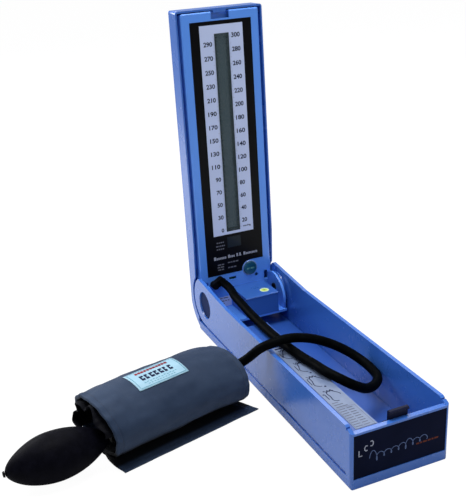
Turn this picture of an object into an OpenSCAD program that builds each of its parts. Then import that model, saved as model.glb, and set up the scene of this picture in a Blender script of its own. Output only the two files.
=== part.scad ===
// Desk sphygmomanometer with an upright column gauge in a hinged case.
// Millimetres. X is the case's width, the front face looks along -Y, Z is up.
// The origin is the middle of the base's underside, halfway from the front face to the hinge axis.
// The lid is drawn in its own frame, with its origin on the hinge axis: Y to its back, Z to its top.

/* [Case] */
// Width of the base and the lid
case_w = 97.5; // [88:0.5:115]
// Distance from the front face to the hinge axis
base_len = 314; // [285:1:370]
// Height of the side walls
side_h = 59; // [56:1:66]
// How much lower the front wall is than the side walls
front_drop = 4.5; // [2:0.5:7]
// Thickness of the side walls
wall = 3.8; // [3.2:0.1:4.4]
// Thickness of the front wall
front_wall = 4.8; // [4:0.1:6]
// Height of the outer band under the groove
band_h = 10.6; // [8:0.1:12]
// Depth of the groove along each side
groove_depth = 1.8; // [1:0.1:2.2]
// Thickness of the cover underneath
cover_t = 2.2; // [1.8:0.1:2.6]
// Height of the tray's floor
floor_z = 6.5; // [6:0.1:7.5]

/* [Ledge] */
// Width of the ledge along the left wall
ledge_w = 25.8; // [18:0.1:28]
// Height of the ledge's top
ledge_h = 54; // [40:0.5:54]
// Length of the ledge
ledge_len = 209; // [180:1:240]
// Length of the instruction sheet on the ledge
sheet_len = 155; // [100:1:170]

/* [Hinge] */
// Height of the hinge axis
hinge_z = 41; // [40:0.5:44]
// Radius of the round cheeks at the hinge
cheek_r = 27; // [25:0.5:27]
// Radius of the round recess in each cheek
recess_r = 15.5; // [12:0.5:15.5]
// Radius of the hinge pins
pin_r = 4; // [3:0.25:5]
// Radial clearance of the lid on the pins
pin_play = 0.06; // [0.02:0.01:0.1]
// How far the open lid leans back, in degrees
lid_lean = 2; // [1:0.5:2]

/* [Lid] */
// Gap under the closed lid's rim
rim_gap = 0.3; // [0.2:0.1:0.6]
// Gap between the lid's round back and the surface that the base stands on
tail_gap = 1; // [0.6:0.1:2]
// Thickness of the lid's side walls
lid_wall = 1.6; // [1.2:0.1:2]
// Thickness of the lid's back
lid_back = 2.5; // [2:0.1:3]
// How far the inner panel stands out of the lid's rim
panel_proud = 1.5; // [0.5:0.1:2]
// Thickness of the inner panel
panel_t = 2.5; // [2.2:0.1:3]

/* [Gauge] */
// Width of the black fascia
fascia_w = 69.4; // [60:0.2:74]
// Height of the fascia's lower edge above the hinge axis
fascia_z = 21; // [20:0.5:24]
// Length of the fascia
fascia_len = 281; // [270:1:284]
// Width of the white scale plate
scale_w = 49; // [40:0.5:56]
// Width of the liquid crystal column
column_w = 16.8; // [12:0.2:20]
// Height of the zero of the column above the hinge axis
column_z = 71; // [66:0.5:76]
// Length of the column from zero to its highest mark
column_len = 218; // [200:1:222]
// Radius of the power button
button_r = 8; // [5:0.1:8.4]
// Travel of the power button
button_travel = 1; // [0.6:0.1:1.4]

/* [Cuff] */
// Length of the rolled cuff, which is the width of its cloth
cuff_len = 151; // [130:1:165]
// Thickness of the cuff's cloth and padding
cuff_t = 5; // [4:0.5:6]
// Diameter of the hose
hose_d = 9.2; // [7:0.1:10]
// Largest diameter of the hand bulb
bulb_d = 44.3; // [38:0.1:50]
// Length of the hand bulb
bulb_len = 94.6; // [80:0.1:100]

/* [Hidden] */
$fn = 64;

case_blue = "#4f76c4";
lid_blue = "#4f76c4";
panel_blue = "#4a72c2";
black = "#111115";
cloth = "#45505f";
rubber = "#17171a";

// places that follow from the sizes above
half_w = case_w / 2;
front_y = -base_len / 2;
hinge_y = base_len / 2;
front_h = side_h - front_drop;
inner_x = half_w - wall;
inner_front_y = front_y + front_wall;
groove_top = hinge_z - cheek_r;
tail_r = hinge_z - tail_gap;
rim_y = side_h - hinge_z + rim_gap;
cheek_gap = 4;
cheek_clear_r = cheek_r + cheek_gap;
rear_y = hinge_y + rim_y - 1.9;
rear_wall = 2;

// the cheek slopes down to the side wall's top
ear_angle = 61;
ear_run = 62;
ear_y = cheek_r * cos(ear_angle);
ear_z = cheek_r * sin(ear_angle);
ear_rise = hinge_z + ear_z - side_h;
corner_run = 10;

// base
bottom_round = 2.5;
corner_round = 2.6;
cover_edge = 3.3;
play = 0.2;
flange_w = 3;
flange_gap = 0.1;
liner_t = 2;
liner_play = 0.2;
liner_z = floor_z - liner_t;
liner_x = inner_x - liner_play;
ledge_x = ledge_w - liner_x;
ledge_draft = 1.2;
ledge_t = 2;
sheet_t = 0.3;
plate_margin_x = 2.9;
plate_low_z = 9.5;
plate_top_margin = 2.2;
plate_t = 1.6;
plate_recess = 0.6;
boss_r = 3.5;
screw_r = 1.25;
head_r = 2.6;
head_h = 1.2;
cover_screw_x = 33;
cover_screw_ys = [front_y + 22, 0, hinge_y - 12];

// hinge
recess_depth = 2.6;
recess_c = [-3, -2.5];
cheek_boss_r = recess_r + 0.8;
cheek_boss_x = 42 + (inner_x - 43.7);
lug_gap = 0.7;
lug_t = 2.8;
lug_x = cheek_boss_x - lug_gap;
cap_t = 0.9;

// lid, in the lid's own frame
lid_len = base_len + 0.5;
end_wall = 2;
panel_y = rim_y - panel_proud;
panel_back = panel_y + panel_t;
panel_gap = 1.2;
panel_half = inner_x - panel_gap;
panel_round = 2.5;
panel_chamfer = 1.1;
panel_top = lid_len - end_wall - 1;
skirt_t = 2;
skirt_y = 29;
lug_c = [3.5, -10.5];
lug_r = 26.7;
foot_z = -22;
foot_t = 2.5;
foot_front = -24.5;
foot_rear = sqrt(pow(tail_r - lid_back, 2) - foot_z * foot_z) - 0.1;
fascia_pocket = 1.2;
fascia_proud = 0.2;
fascia_front = panel_y - fascia_proud;
fascia_back = panel_y + fascia_pocket;
scale_t = 0.25;
scale_margin = 3;
window_w = 17.4;
window_z = 51.5;
window_len = 13.5;
button_x = 17.6;
button_z = 22.2;
ring_w = 1.2;
button_play = 0.15;
glass_play = 0.1;
lid_boss_x = 35;
lid_boss_zs = [14, 160, 298];
door_w = 55;
door_len = 37;
door_z = 27;
door_t = 1.2;
door_lip = 2.5;
cell_r = 5.25;
cell_len = 44.5;
cell_y = 30.6;
cell_zs = [door_z + door_len / 2 - 6, door_z + door_len / 2 + 6];
board_y = 21.9;
board_t = 1.6;
holder_y = board_y + board_t + 0.3;

// latch
tongue_w = 19;
tongue_t = 2.5;
tongue_top = side_h + 3.9;
hook_h = 1.8;
hook_reach = 2.4;
tongue_y = inner_front_y + 0.3;
keeper_w = 14;
keeper_y = panel_y + 1;
keeper_t = 2;

// sensor box, in the lid's own frame
box_left = -7;
box_right = 32.3;
box_front = -24.8;
box_top = 4;
box_wall = 1.8;
box_cover_t = 1.6;

// elbow and hose: route points chosen by hand
stem = [-29, 12];
outlet = [-21, 16];
elbow_y = 12;
elbow_r = 3.6;
stem_r = elbow_r - 0.5;
collar_len = 4;
hose_start = [outlet[0], elbow_y - collar_len - 0.02, outlet[1]];
hose_end = [-108, 15, 37];
hose_step = 4.6;
hose_route = concat([for (k = [0:3]) lid_point(hose_start - [0, hose_step * k, 0])], [
    [-22, 138.3, 57.3], [-25.8, 121.5, 58.3], [-27, 105.1, 58.5], [-28.2, 89.4, 58.6],
    [-29.2, 73.7, 58.8], [-29.9, 58, 59], [-30.2, 42.4, 59], [-30.2, 26.9, 59], [-29.7, 11.2, 59],
    [-28.8, -4.4, 59], [-27.3, -19.9, 59], [-25.2, -35.5, 59], [-22.2, -50.4, 59],
    [-20.7, -66.1, 59.9], [-13.3, -79.9, 57.1], [-1.7, -85.3, 49.9], [14.7, -79.9, 38.8],
    [28.9, -72.5, 35.3], [38.1, -62.1, 35.4], [40.3, -46.5, 36.5], [36.6, -31.8, 40.3],
    [27.2, -21.4, 47.1], [14.6, -15.7, 54.6], [0.8, -13.3, 61.5], [-13.4, -11.8, 66.5],
    [-29.7, -11, 69.5], [-45.5, -9.5, 67.8], [-55.9, -2.9, 61.2], [-66.2, 9.3, 45.7],
    [-81.5, 14.4, 38]],
    [for (k = [3:-1:0]) hose_end + [hose_step * k, 0, 0]]);
elbow_rear = 24.5;
sensor_port = [7, -12];
sensor_port_y = 5;
sensor_tube_route = [
    [stem[0], elbow_rear, stem[1]], [stem[0], elbow_rear + 1.6, stem[1]],
    [stem[0], elbow_rear + 3.2, stem[1]], [-27, 31, 6], [-20, 32, -2], [-10, 30, -8],
    [-1, 27.5, -11], [sensor_port[0] - 1, 23, sensor_port[1]],
    [sensor_port[0], 18, sensor_port[1]], [sensor_port[0], 12, sensor_port[1]],
    [sensor_port[0], sensor_port_y, sensor_port[1]]];

// cuff: a roll on its side, drawn about its own axis
roll_left = [-226.3, -14.5];
roll_angle = 14;
roll_r = 36.3;
roll_pitch = cuff_t + 0.7;
roll_turns = 1.12;
roll_wide = 1.147;
roll_high = 0.894;
roll_z = roll_r * roll_high;
end_slant = 8;
flap_reach = 36;
label_t = 0.5;
pocket_t = cuff_t / 2;
bladder_len = 118;
port_r = 3.2;
port_len = 10;

// hand bulb: from its tip towards the valve
bulb_tip = [-306.9, -27.3, 20.7];
bulb_aim = [94.3, 7, 3.2] / norm([94.3, 7, 3.2]);
bulb_wall = 2.4;
valve_len = 20;
valve_r = 5.5;
screw_head_r = 6.5;
valve_end = bulb_tip + bulb_aim * (bulb_len + valve_len);
bulb_tube_end = [-130, 5, 38];
bulb_tube_aim = [4, 1, 0] / norm([4, 1, 0]);
bulb_tube_route = concat([for (k = [0:2]) valve_end + bulb_aim * 7 * k], [[-160, -9, 31]],
    [for (k = [2:-1:0]) bulb_tube_end - bulb_tube_aim * 7 * k]);

// ---- helpers ----

// A side view, drawn with Y to the right and Z up, made into a solid across X.
module across(w) {
    rotate([90, 0, 90]) linear_extrude(w, center = true) children();
}

// A front view, drawn with X to the right and Z up, from y to y + len.
module along(y, len) {
    translate([0, y + len, 0]) rotate([90, 0, 0]) linear_extrude(len) children();
}

module both_sides() {
    children();
    mirror([1, 0, 0]) children();
}

// A block given by its lowest and highest corners.
module block(a, b) {
    translate(a) cube(b - a);
}

// A round rod from one point to another.
module rod(a, b, r, r2 = -1) {
    d = b - a;
    len = norm(d);
    end_r = r2 < 0 ? r : r2;
    translate(a)
        rotate([0, acos(d[2] / len), atan2(d[1], d[0])])
            cylinder(h = len, r1 = r, r2 = end_r);
}

module rounded_square(size, r) {
    translate([r, 0]) square([size[0] - 2 * r, size[1]]);
    translate([0, r]) square([size[0], size[1] - 2 * r]);
    for (x = [r, size[0] - r], y = [r, size[1] - r]) translate([x, y]) circle(r, $fn = 24);
}

// A point of the lid's frame, placed in the part's frame.
function lid_point(p) = [p[0], hinge_y + p[1] * cos(lid_lean) + p[2] * sin(lid_lean),
    hinge_z - p[1] * sin(lid_lean) + p[2] * cos(lid_lean)];

module in_lid() {
    translate([0, hinge_y, hinge_z]) rotate([-lid_lean, 0, 0]) children();
}

// A point on a smooth curve through the route's points.
function curve(p, i, t) =
    let (a = p[max(i - 1, 0)], b = p[i], c = p[i + 1], d = p[min(i + 2, len(p) - 1)])
    0.5 * (2 * b + (c - a) * t + (2 * a - 5 * b + 4 * c - d) * t * t
        + (3 * b - a - 3 * c + d) * t * t * t);

function smooth(p, steps) = concat(
    [for (i = [0:len(p) - 2], k = [0:steps - 1]) curve(p, i, k / steps)],
    [p[len(p) - 1]]);

// A tube of one radius swept along a path whose direction is never straight up.
module sweep(path, r, sides) {
    n = len(path);
    tangent = [for (i = [0:n - 1]) let (d = path[min(i + 1, n - 1)] - path[max(i - 1, 0)]) d / norm(d)];
    across_v = [for (t = tangent) let (c = cross(t, [0, 0, 1])) c / norm(c)];
    points = [for (i = [0:n - 1], j = [0:sides - 1])
        let (a = 360 * j / sides)
        path[i] + r * (cos(a) * across_v[i] + sin(a) * cross(across_v[i], tangent[i]))];
    walls = [for (i = [0:n - 2], j = [0:sides - 1])
        let (k = (j + 1) % sides)
        [i * sides + j, (i + 1) * sides + j, (i + 1) * sides + k, i * sides + k]];
    start = [[for (j = [0:sides - 1]) j]];
    end = [[for (j = [sides - 1:-1:0]) (n - 1) * sides + j]];
    polyhedron(points = points, faces = concat(walls, start, end), convexity = 10);
}

// ---- base ----

module side_profile() {
    difference() {
        union() {
            translate([front_y, 0]) square([base_len, side_h]);
            translate([hinge_y, hinge_z]) circle(cheek_r, $fn = 96);
            translate([front_y, 0]) square([rear_y - front_y, band_h]);
            polygon([[hinge_y - ear_run, side_h], [hinge_y + ear_y, hinge_z + ear_z],
                [hinge_y + ear_y, hinge_z], [hinge_y - ear_run, hinge_z]]);
        }
        polygon([[hinge_y - ear_run, side_h], [hinge_y + ear_y, hinge_z + ear_z],
            [hinge_y + ear_y, hinge_z + cheek_r + 5], [hinge_y - ear_run, hinge_z + cheek_r + 5]]);
        polygon([[front_y - 1, front_h - front_drop / corner_run], [front_y + corner_run, side_h],
            [front_y + corner_run, side_h + 1], [front_y - 1, side_h + 1]]);
        translate([front_y + 6, side_h - 3.4]) square([1.4, 5]);
    }
}

// Outer section of the base, with its lower edges rounded.
module base_section() {
    translate([-half_w, bottom_round]) square([case_w, side_h + 20]);
    translate([-half_w + bottom_round, 0]) square([case_w - 2 * bottom_round, bottom_round]);
    for (s = [-1, 1])
        translate([s * (half_w - bottom_round), bottom_round]) circle(bottom_round, $fn = 32);
}

// Outer plan of the base, with its front corners rounded.
module base_plan() {
    translate([-half_w, front_y + corner_round]) square([case_w, base_len + 60]);
    translate([-half_w + corner_round, front_y])
        square([case_w - 2 * corner_round, corner_round]);
    for (s = [-1, 1])
        translate([s * (half_w - corner_round), front_y + corner_round])
            circle(corner_round, $fn = 32);
}

module base_case() color(case_blue) difference() {
    intersection() {
        union() {
            both_sides() {
                translate([half_w - wall / 2, 0, 0]) across(wall) side_profile();
                translate([cheek_boss_x, hinge_y, hinge_z])
                    rotate([0, 90, 0]) cylinder(h = inner_x - cheek_boss_x + 0.1, r = cheek_boss_r);
                block([inner_x - flange_w, front_y + 1, cover_t + flange_gap],
                    [inner_x + 0.1, rear_y, liner_z - flange_gap]);
            }
            block([-inner_x - 0.1, front_y, 0], [inner_x + 0.1, inner_front_y, front_h]);
            block([-inner_x - 0.1, rear_y - rear_wall, 0], [inner_x + 0.1, rear_y, band_h]);
            block([-inner_x, inner_front_y - 0.1, cover_t + flange_gap],
                [inner_x, inner_front_y + flange_w, liner_z - flange_gap]);
        }
        along(front_y - 1, base_len + 80) base_section();
        linear_extrude(side_h + 40) base_plan();
    }
    // seat of the cover underneath
    block([-half_w + cover_edge, front_y + cover_edge, -1],
        [half_w - cover_edge, rear_y - rear_wall + 0.6, cover_t + flange_gap]);
    // groove along each side
    both_sides() block([half_w - groove_depth, front_y + 8, band_h],
        [half_w + 1, hinge_y + 0.1, groove_top]);
    // seat of the front plate
    block([-half_w + plate_margin_x - play / 2, front_y - 1, plate_low_z - play / 2],
        [half_w - plate_margin_x + play / 2, front_y + plate_t + plate_recess,
            front_h - plate_top_margin + play / 2]);
    // round recess and pin bore of each cheek
    both_sides() translate([0, hinge_y, hinge_z]) rotate([0, 90, 0]) {
        translate([-recess_c[1], recess_c[0], half_w - recess_depth]) cylinder(h = recess_depth + 1, r = recess_r);
        cylinder(h = half_w, r = pin_r);
    }
}

module cover_screw_places() {
    for (y = cover_screw_ys, s = [-1, 1]) translate([s * cover_screw_x, y, 0]) children();
}

module bottom_cover() color("#3f62a8") difference() {
    block([-half_w + cover_edge + play, front_y + cover_edge + play, 0],
        [half_w - cover_edge - play, rear_y - rear_wall + 0.4, cover_t]);
    cover_screw_places() {
        translate([0, 0, -1]) cylinder(h = head_h + 1, r = head_r + 0.2, $fn = 32);
        translate([0, 0, -1]) cylinder(h = cover_t + 2, r = screw_r + 0.2, $fn = 32);
    }
}

module cover_screws() color("silver") cover_screw_places() {
    difference() {
        translate([0, 0, 0.2]) cylinder(h = head_h - 0.2, r = head_r, $fn = 32);
        translate([-0.4, -2, 0]) cube([0.8, 4, 0.6]);
        translate([-2, -0.4, 0]) cube([4, 0.8, 0.6]);
    }
    translate([0, 0, head_h]) cylinder(h = 4, r = screw_r, $fn = 32);
}

// Section of the ledge: its outer face leans by the mould's draft.
module ledge_section(inset) {
    polygon([[-liner_x + inset, liner_z - (inset > 0 ? 1 : 0)], [-liner_x + inset, ledge_h - inset],
        [ledge_x - inset, ledge_h - inset],
        [ledge_x + ledge_draft - inset, liner_z - (inset > 0 ? 1 : 0)]]);
}

ledge_rear = inner_front_y + ledge_len;

module tray_liner() color("#3d66b8") difference() {
    union() {
        block([-liner_x, inner_front_y + liner_play, liner_z],
            [liner_x, rear_y - rear_wall - liner_play, floor_z]);
        along(inner_front_y + liner_play, ledge_rear - inner_front_y - liner_play) ledge_section(0);
        cover_screw_places() translate([0, 0, cover_t + 0.05])
            cylinder(h = liner_z - cover_t, r = boss_r, $fn = 32);
    }
    along(inner_front_y + liner_play + ledge_t, ledge_rear - inner_front_y - liner_play - 2 * ledge_t)
        ledge_section(ledge_t);
    cover_screw_places() translate([0, 0, cover_t - 0.1])
        cylinder(h = 4, r = screw_r, $fn = 32);
}

module front_plate() color(black) along(front_y + plate_recess, plate_t)
    translate([-half_w + plate_margin_x, plate_low_z])
        rounded_square([case_w - 2 * plate_margin_x, front_h - plate_top_margin - plate_low_z], 1);

module instruction_sheet() color("white")
    block([-liner_x + 4.5, inner_front_y + 1.2, ledge_h],
        [ledge_x - 0.8, inner_front_y + sheet_len, ledge_h + sheet_t]);

module panel_label() color("white") in_lid()
    block([-31, panel_y - 0.25, foot_z + foot_t + 0.8], [-8, panel_y, foot_z + foot_t + 13]);

module hinge_pins() color("silver") both_sides()
    translate([lug_x - lug_t - 1.5, hinge_y, hinge_z]) rotate([0, 90, 0])
        cylinder(h = half_w - recess_depth - (lug_x - lug_t - 1.5), r = pin_r);

module pivot_caps() color("#6f7398") both_sides()
    translate([half_w - recess_depth, hinge_y + recess_c[0], hinge_z + recess_c[1]]) rotate([0, 90, 0]) {
        cylinder(h = cap_t * 0.6, r = recess_r - 0.3);
        translate([0, 0, cap_t * 0.6]) cylinder(h = cap_t * 0.4, r1 = recess_r - 0.3, r2 = recess_r - 1);
    }

guide_low = 34;
guide_top = front_h - 4.5;
tongue_travel = 2.2;

module latch_guide() color(black) difference() {
    block([-tongue_w / 2 - 2, inner_front_y, guide_low],
        [tongue_w / 2 + 2, tongue_y + tongue_t + tongue_travel + 1.8, guide_top]);
    block([-tongue_w / 2 - 0.2, inner_front_y - 1, guide_low + 2],
        [tongue_w / 2 + 0.2, tongue_y + tongue_t + tongue_travel + 0.3, guide_top + 1]);
}

// The tongue's hook points forward, over the front wall.
module latch_tongue() color(black) across(tongue_w) polygon([
    [tongue_y, guide_low + 2.3], [tongue_y + tongue_t, guide_low + 2.3],
    [tongue_y + tongue_t, tongue_top - 1], [tongue_y + tongue_t - 1, tongue_top],
    [tongue_y - hook_reach + 1.2, tongue_top], [tongue_y - hook_reach, tongue_top - hook_h + 0.6],
    [tongue_y - hook_reach, tongue_top - hook_h], [tongue_y, tongue_top - hook_h]]);

// ---- lid ----

// Side view of the lid's outer shell, with its round end about the hinge axis.
module lid_profile(inset) {
    difference() {
        union() {
            translate([rim_y - inset, 0]) square([tail_r - rim_y, lid_len - (inset > 0 ? end_wall : 0)]);
            circle(tail_r - inset, $fn = 128);
        }
        translate([-tail_r - 1, -tail_r - 1])
            square([tail_r + 1 + rim_y - (inset > 0 ? 1 : 0), tail_r + lid_len + 2]);
    }
}

module lid_shell() color(lid_blue) in_lid() {
    lid_cover();
    keeper();
}

module lid_cover() difference() {
    across(case_w) lid_profile(0);
    across(case_w - 2 * lid_wall) lid_profile(lid_back);
    // room for the cheeks, and for their slopes when the lid is shut
    across(case_w + 2) circle(cheek_clear_r, $fn = 96);
    across(case_w + 2) polygon([[rim_y - 1, ear_run], [rim_y, ear_run],
        [rim_y + ear_rise, -ear_y], [rim_y - 1, -ear_y]]);
    // round the back's long edges
    both_sides() translate([half_w, tail_r, -tail_r]) rotate([0, 0, 45])
        translate([-1.2, -1.2, 0]) cube([2.4, 2.4, lid_len + 2 * tail_r]);
    both_sides() corner_cut(half_w, lid_len, corner_round, rim_y - 1, tail_r + 1);
    // battery door
    block([-door_w / 2, tail_r - door_t, door_z], [door_w / 2, tail_r + 1, door_z + door_len]);
    block([-door_w / 2 + door_lip, tail_r - lid_back - 1, door_z + door_lip],
        [door_w / 2 - door_lip, tail_r + 1, door_z + door_len - door_lip]);
    lid_screw_places() {
        translate([0, 0, 1]) cylinder(h = head_h + 2, r = head_r + 0.2, $fn = 32);
        translate([0, 0, -2]) cylinder(h = lid_back + 4, r = screw_r + 0.2, $fn = 32);
    }
}

// What rounds an upper corner at (x, z), from y0 to y1.
module corner_cut(x, z, r, y0, y1) {
    translate([x, 0, z]) difference() {
        block([-r, y0, -r], [1, y1, 1]);
        translate([-r, y0 - 1, -r]) rotate([-90, 0, 0]) cylinder(h = y1 - y0 + 2, r = r, $fn = 32);
    }
}

// Places of the lid's screws: Z points out of the lid's back.
module lid_screw_places() {
    for (z = lid_boss_zs, s = [-1, 1])
        translate([s * lid_boss_x, tail_r - lid_back, z]) rotate([-90, 0, 0]) children();
}

module lid_screws() color("silver") in_lid() lid_screw_places() {
    difference() {
        translate([0, 0, 1]) cylinder(h = head_h, r = head_r, $fn = 32);
        translate([-0.4, -2, 1.8]) cube([0.8, 4, 1]);
        translate([-2, -0.4, 1.8]) cube([4, 0.8, 1]);
    }
    translate([0, 0, -5]) cylinder(h = 6, r = screw_r, $fn = 32);
}

module keeper() {
    block([-keeper_w / 2, keeper_y, lid_len - end_wall - 2.2],
        [keeper_w / 2, keeper_y + keeper_t, lid_len - end_wall + 0.1]);
}

notch_w = tongue_w + 1.6;
notch_z = hinge_y - (tongue_y + tongue_t + tongue_travel) - 0.4;

module lug_profile() {
    intersection() {
        translate(lug_c) circle(lug_r, $fn = 96);
        translate([-40, foot_z]) square([40 + panel_y + 0.5, 60]);
    }
}

module lid_panel() color(panel_blue) in_lid() difference() {
    union() {
        block([-panel_half, panel_y, foot_z], [panel_half, panel_back, panel_top]);
        both_sides() {
            block([panel_half - skirt_t, panel_back - 0.1, foot_z], [panel_half, skirt_y, panel_top]);
            block([panel_half - 0.1, skirt_y - 2, cheek_clear_r],
                [half_w - lid_wall - 0.1, skirt_y, panel_top]);
            translate([lug_x - lug_t / 2, 0, 0]) across(lug_t) lug_profile();
        }
        block([-panel_half, panel_back - 0.1, panel_top - skirt_t], [panel_half, skirt_y, panel_top]);
        block([-lug_x, foot_front, foot_z], [lug_x, foot_rear, foot_z + foot_t]);
        for (z = lid_boss_zs, s = [-1, 1]) translate([s * lid_boss_x, panel_back - 0.1, z])
            rotate([-90, 0, 0]) cylinder(h = tail_r - lid_back - panel_back, r = 3, $fn = 32);
        keeper_bridge();
    }
    // seat of the fascia
    translate([0, fascia_back, 0]) rotate([90, 0, 0]) linear_extrude(10) fascia_outline(0.1);
    // windows behind it
    block([-column_w / 2 - 0.6, panel_y, column_z - 1],
        [column_w / 2 + 0.6, panel_back + 1, column_z + column_len + 1]);
    block([-window_w / 2, panel_y, window_z], [window_w / 2, panel_back + 1, window_z + window_len]);
    // button, slot, small hole and hose stem
    front_hole(button_x, button_z, button_r + button_play);
    front_hole(25.6, 12.4, 2.1);
    translate([-4.6, panel_y - 1, 14.3]) rotate([-90, 0, 0]) linear_extrude(panel_t + 2)
        translate([-4.5, -1.7]) rounded_square([9, 3.4], 0.8);
    front_hole(stem[0], stem[1], stem_r + 0.1);
    front_hole(sensor_port[0], sensor_port[1], 3);
    // slots beside the hinge lugs
    both_sides() block([lug_x - lug_t - 4.6, panel_y - 1, 4.5], [lug_x - lug_t, panel_back + 1, 15]);
    // front edges and upper corners
    both_sides() {
        translate([panel_half, panel_y, 0]) rotate([0, 0, 45])
            translate([-panel_chamfer, -panel_chamfer, cheek_clear_r])
                cube([2 * panel_chamfer, panel_chamfer * (1 + 1 / sqrt(2)), panel_top]);
        corner_cut(panel_half, panel_top, panel_round, panel_y - 1, skirt_y - 2.05);
    }
    translate([0, panel_y, panel_top]) rotate([45, 0, 0])
        translate([-panel_half - 1, -panel_chamfer, -panel_chamfer / sqrt(2)])
            cube([2 * panel_half + 2, 2 * panel_chamfer, panel_chamfer * sqrt(2)]);
    // notch for the latch
    block([-notch_w / 2, panel_y - 1, notch_z], [notch_w / 2, skirt_y - 5, panel_top + 1]);
    // pins and their screws
    both_sides() rotate([0, 90, 0]) cylinder(h = half_w, r = pin_r + pin_play);
    for (z = lid_boss_zs, s = [-1, 1]) translate([s * lid_boss_x, tail_r - lid_back - 6, z])
        rotate([-90, 0, 0]) cylinder(h = 8, r = screw_r, $fn = 32);
}

module keeper_bridge() {
    block([-notch_w / 2 - 2, skirt_y - 5, notch_z - 2], [notch_w / 2 + 2, skirt_y, panel_top]);
}

// A hole through the panel's face, from the front.
module front_hole(x, z, r) {
    translate([x, panel_y - 1, z]) rotate([-90, 0, 0]) cylinder(h = panel_t + 2, r = r);
}

// The fascia's lower right corner is stepped round the button. Drawn with X to the right, Z up.
module fascia_outline(grow) {
    difference() {
        translate([-fascia_w / 2 - grow, fascia_z - grow])
            square([fascia_w + 2 * grow, fascia_len + 2 * grow]);
        translate([button_x, fascia_z - 5 - grow]) square([fascia_w, 16.4]);
        translate([button_x, button_z]) circle(button_r + ring_w + 0.7 - grow);
    }
}

module fascia() color(black) in_lid() difference() {
    translate([0, fascia_back, 0]) rotate([90, 0, 0])
        linear_extrude(fascia_back - fascia_front) fascia_outline(0);
    block([-column_w / 2, 0, column_z], [column_w / 2, 40, column_z + column_len]);
    block([-window_w / 2 + 0.4, 0, window_z + 0.4], [window_w / 2 - 0.4, 40, window_z + window_len - 0.4]);
}

module scale_plate() color("white") in_lid() difference() {
    block([-scale_w / 2, fascia_front - scale_t, column_z - scale_margin],
        [scale_w / 2, fascia_front, column_z + column_len + 9]);
    block([-column_w / 2, 0, column_z], [column_w / 2, 40, column_z + column_len]);
}

module column_glass() color("#5c6f6a") in_lid()
    block([-column_w / 2 + glass_play, fascia_front + 0.2, column_z + glass_play],
        [column_w / 2 - glass_play, fascia_back, column_z + column_len - glass_play]);

module column_display() color("#3f4a48") in_lid() {
    block([-column_w / 2, fascia_back + 0.1, column_z],
        [column_w / 2, panel_back + 0.2, column_z + column_len]);
    block([-column_w / 2 - 3, panel_back + 0.1, column_z - 4],
        [column_w / 2 + 3, board_y, column_z + column_len + 4]);
}

module status_window() color("#28343a") in_lid()
    block([-window_w / 2 + 0.5, fascia_front + 0.1, window_z + 0.5],
        [window_w / 2 - 0.5, fascia_back, window_z + window_len - 0.5]);

module button_ring() color("#7f96c8") in_lid()
    translate([button_x, panel_y, button_z]) rotate([90, 0, 0]) difference() {
        cylinder(h = 0.7, r1 = button_r + ring_w, r2 = button_r + ring_w - 0.4);
        translate([0, 0, -1]) cylinder(h = 3, r = button_r + button_play);
    }

module power_button() color("#1f6f7a") in_lid()
    translate([button_x, 0, button_z]) rotate([90, 0, 0]) {
        translate([0, 0, -panel_back]) cylinder(h = panel_back - panel_y + 1.1, r = button_r);
        translate([0, 0, -panel_y + 1.1]) cylinder(h = 0.5, r1 = button_r, r2 = button_r - 0.8);
    }

module circuit_board() color("#2d6b45") in_lid() {
    difference() {
        block([-24, board_y, 4], [26, board_y + board_t, column_z + column_len + 6]);
        translate([0, board_y - 1, 14]) rotate([-90, 0, 0]) cylinder(h = 4, r = 1.6, $fn = 24);
    }
    // switch under the button
    translate([button_x, board_y - 1.5, button_z]) rotate([-90, 0, 0]) cylinder(h = 1.6, r = 2.5, $fn = 32);
}

module battery_holder() color("#222226") in_lid() difference() {
    block([-cell_len / 2 - 3.6, holder_y, door_z + 4.5],
        [cell_len / 2 + 3.6, cell_y + 3, door_z + door_len - 4.5]);
    block([-cell_len / 2 - 2.4, holder_y + 1.2, door_z + 5.7],
        [cell_len / 2 + 2.4, cell_y + 4, door_z + door_len - 5.7]);
}

module batteries() color("#b9bcc2") in_lid() for (i = [0, 1])
    translate([0, cell_y, cell_zs[i]]) rotate([0, i == 0 ? 90 : -90, 0]) {
        translate([0, 0, -cell_len / 2]) cylinder(h = cell_len - 0.8, r = cell_r);
        translate([0, 0, cell_len / 2 - 0.8]) cylinder(h = 0.8, r = 1.9, $fn = 32);
    }

module battery_contacts() color("silver") in_lid() for (z = cell_zs, s = [-1, 1])
    translate([s * (cell_len / 2 + 2.35), cell_y, z]) rotate([0, -s * 90, 0]) {
        cylinder(h = 0.5, r = 4, $fn = 32);
        translate([0, 0, 0.5]) cylinder(h = 1.8, r1 = 3, r2 = 1.8, $fn = 32);
    }

module battery_door() color(lid_blue) in_lid() {
    difference() {
        block([-door_w / 2 + play, tail_r - door_t, door_z + play],
            [door_w / 2 - play, tail_r, door_z + door_len - play]);
        // finger grips
        for (k = [0:3]) translate([0, 0, door_z + 4 + 2.4 * k])
            block([-9, tail_r - 0.6, 0], [9, tail_r + 1, 1.2]);
    }
    difference() {
        block([-door_w / 2 + door_lip + play, tail_r - lid_back - 0.8, door_z + door_lip + play],
            [door_w / 2 - door_lip - play, tail_r - door_t + 0.1, door_z + door_len - door_lip - play]);
        block([-door_w / 2 + door_lip + 1.4, tail_r - lid_back - 2, door_z + door_lip + 1.4],
            [door_w / 2 - door_lip - 1.4, tail_r - door_t, door_z + door_len - door_lip - 1.4]);
    }
}

// ---- sensor box at the foot of the lid ----

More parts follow.
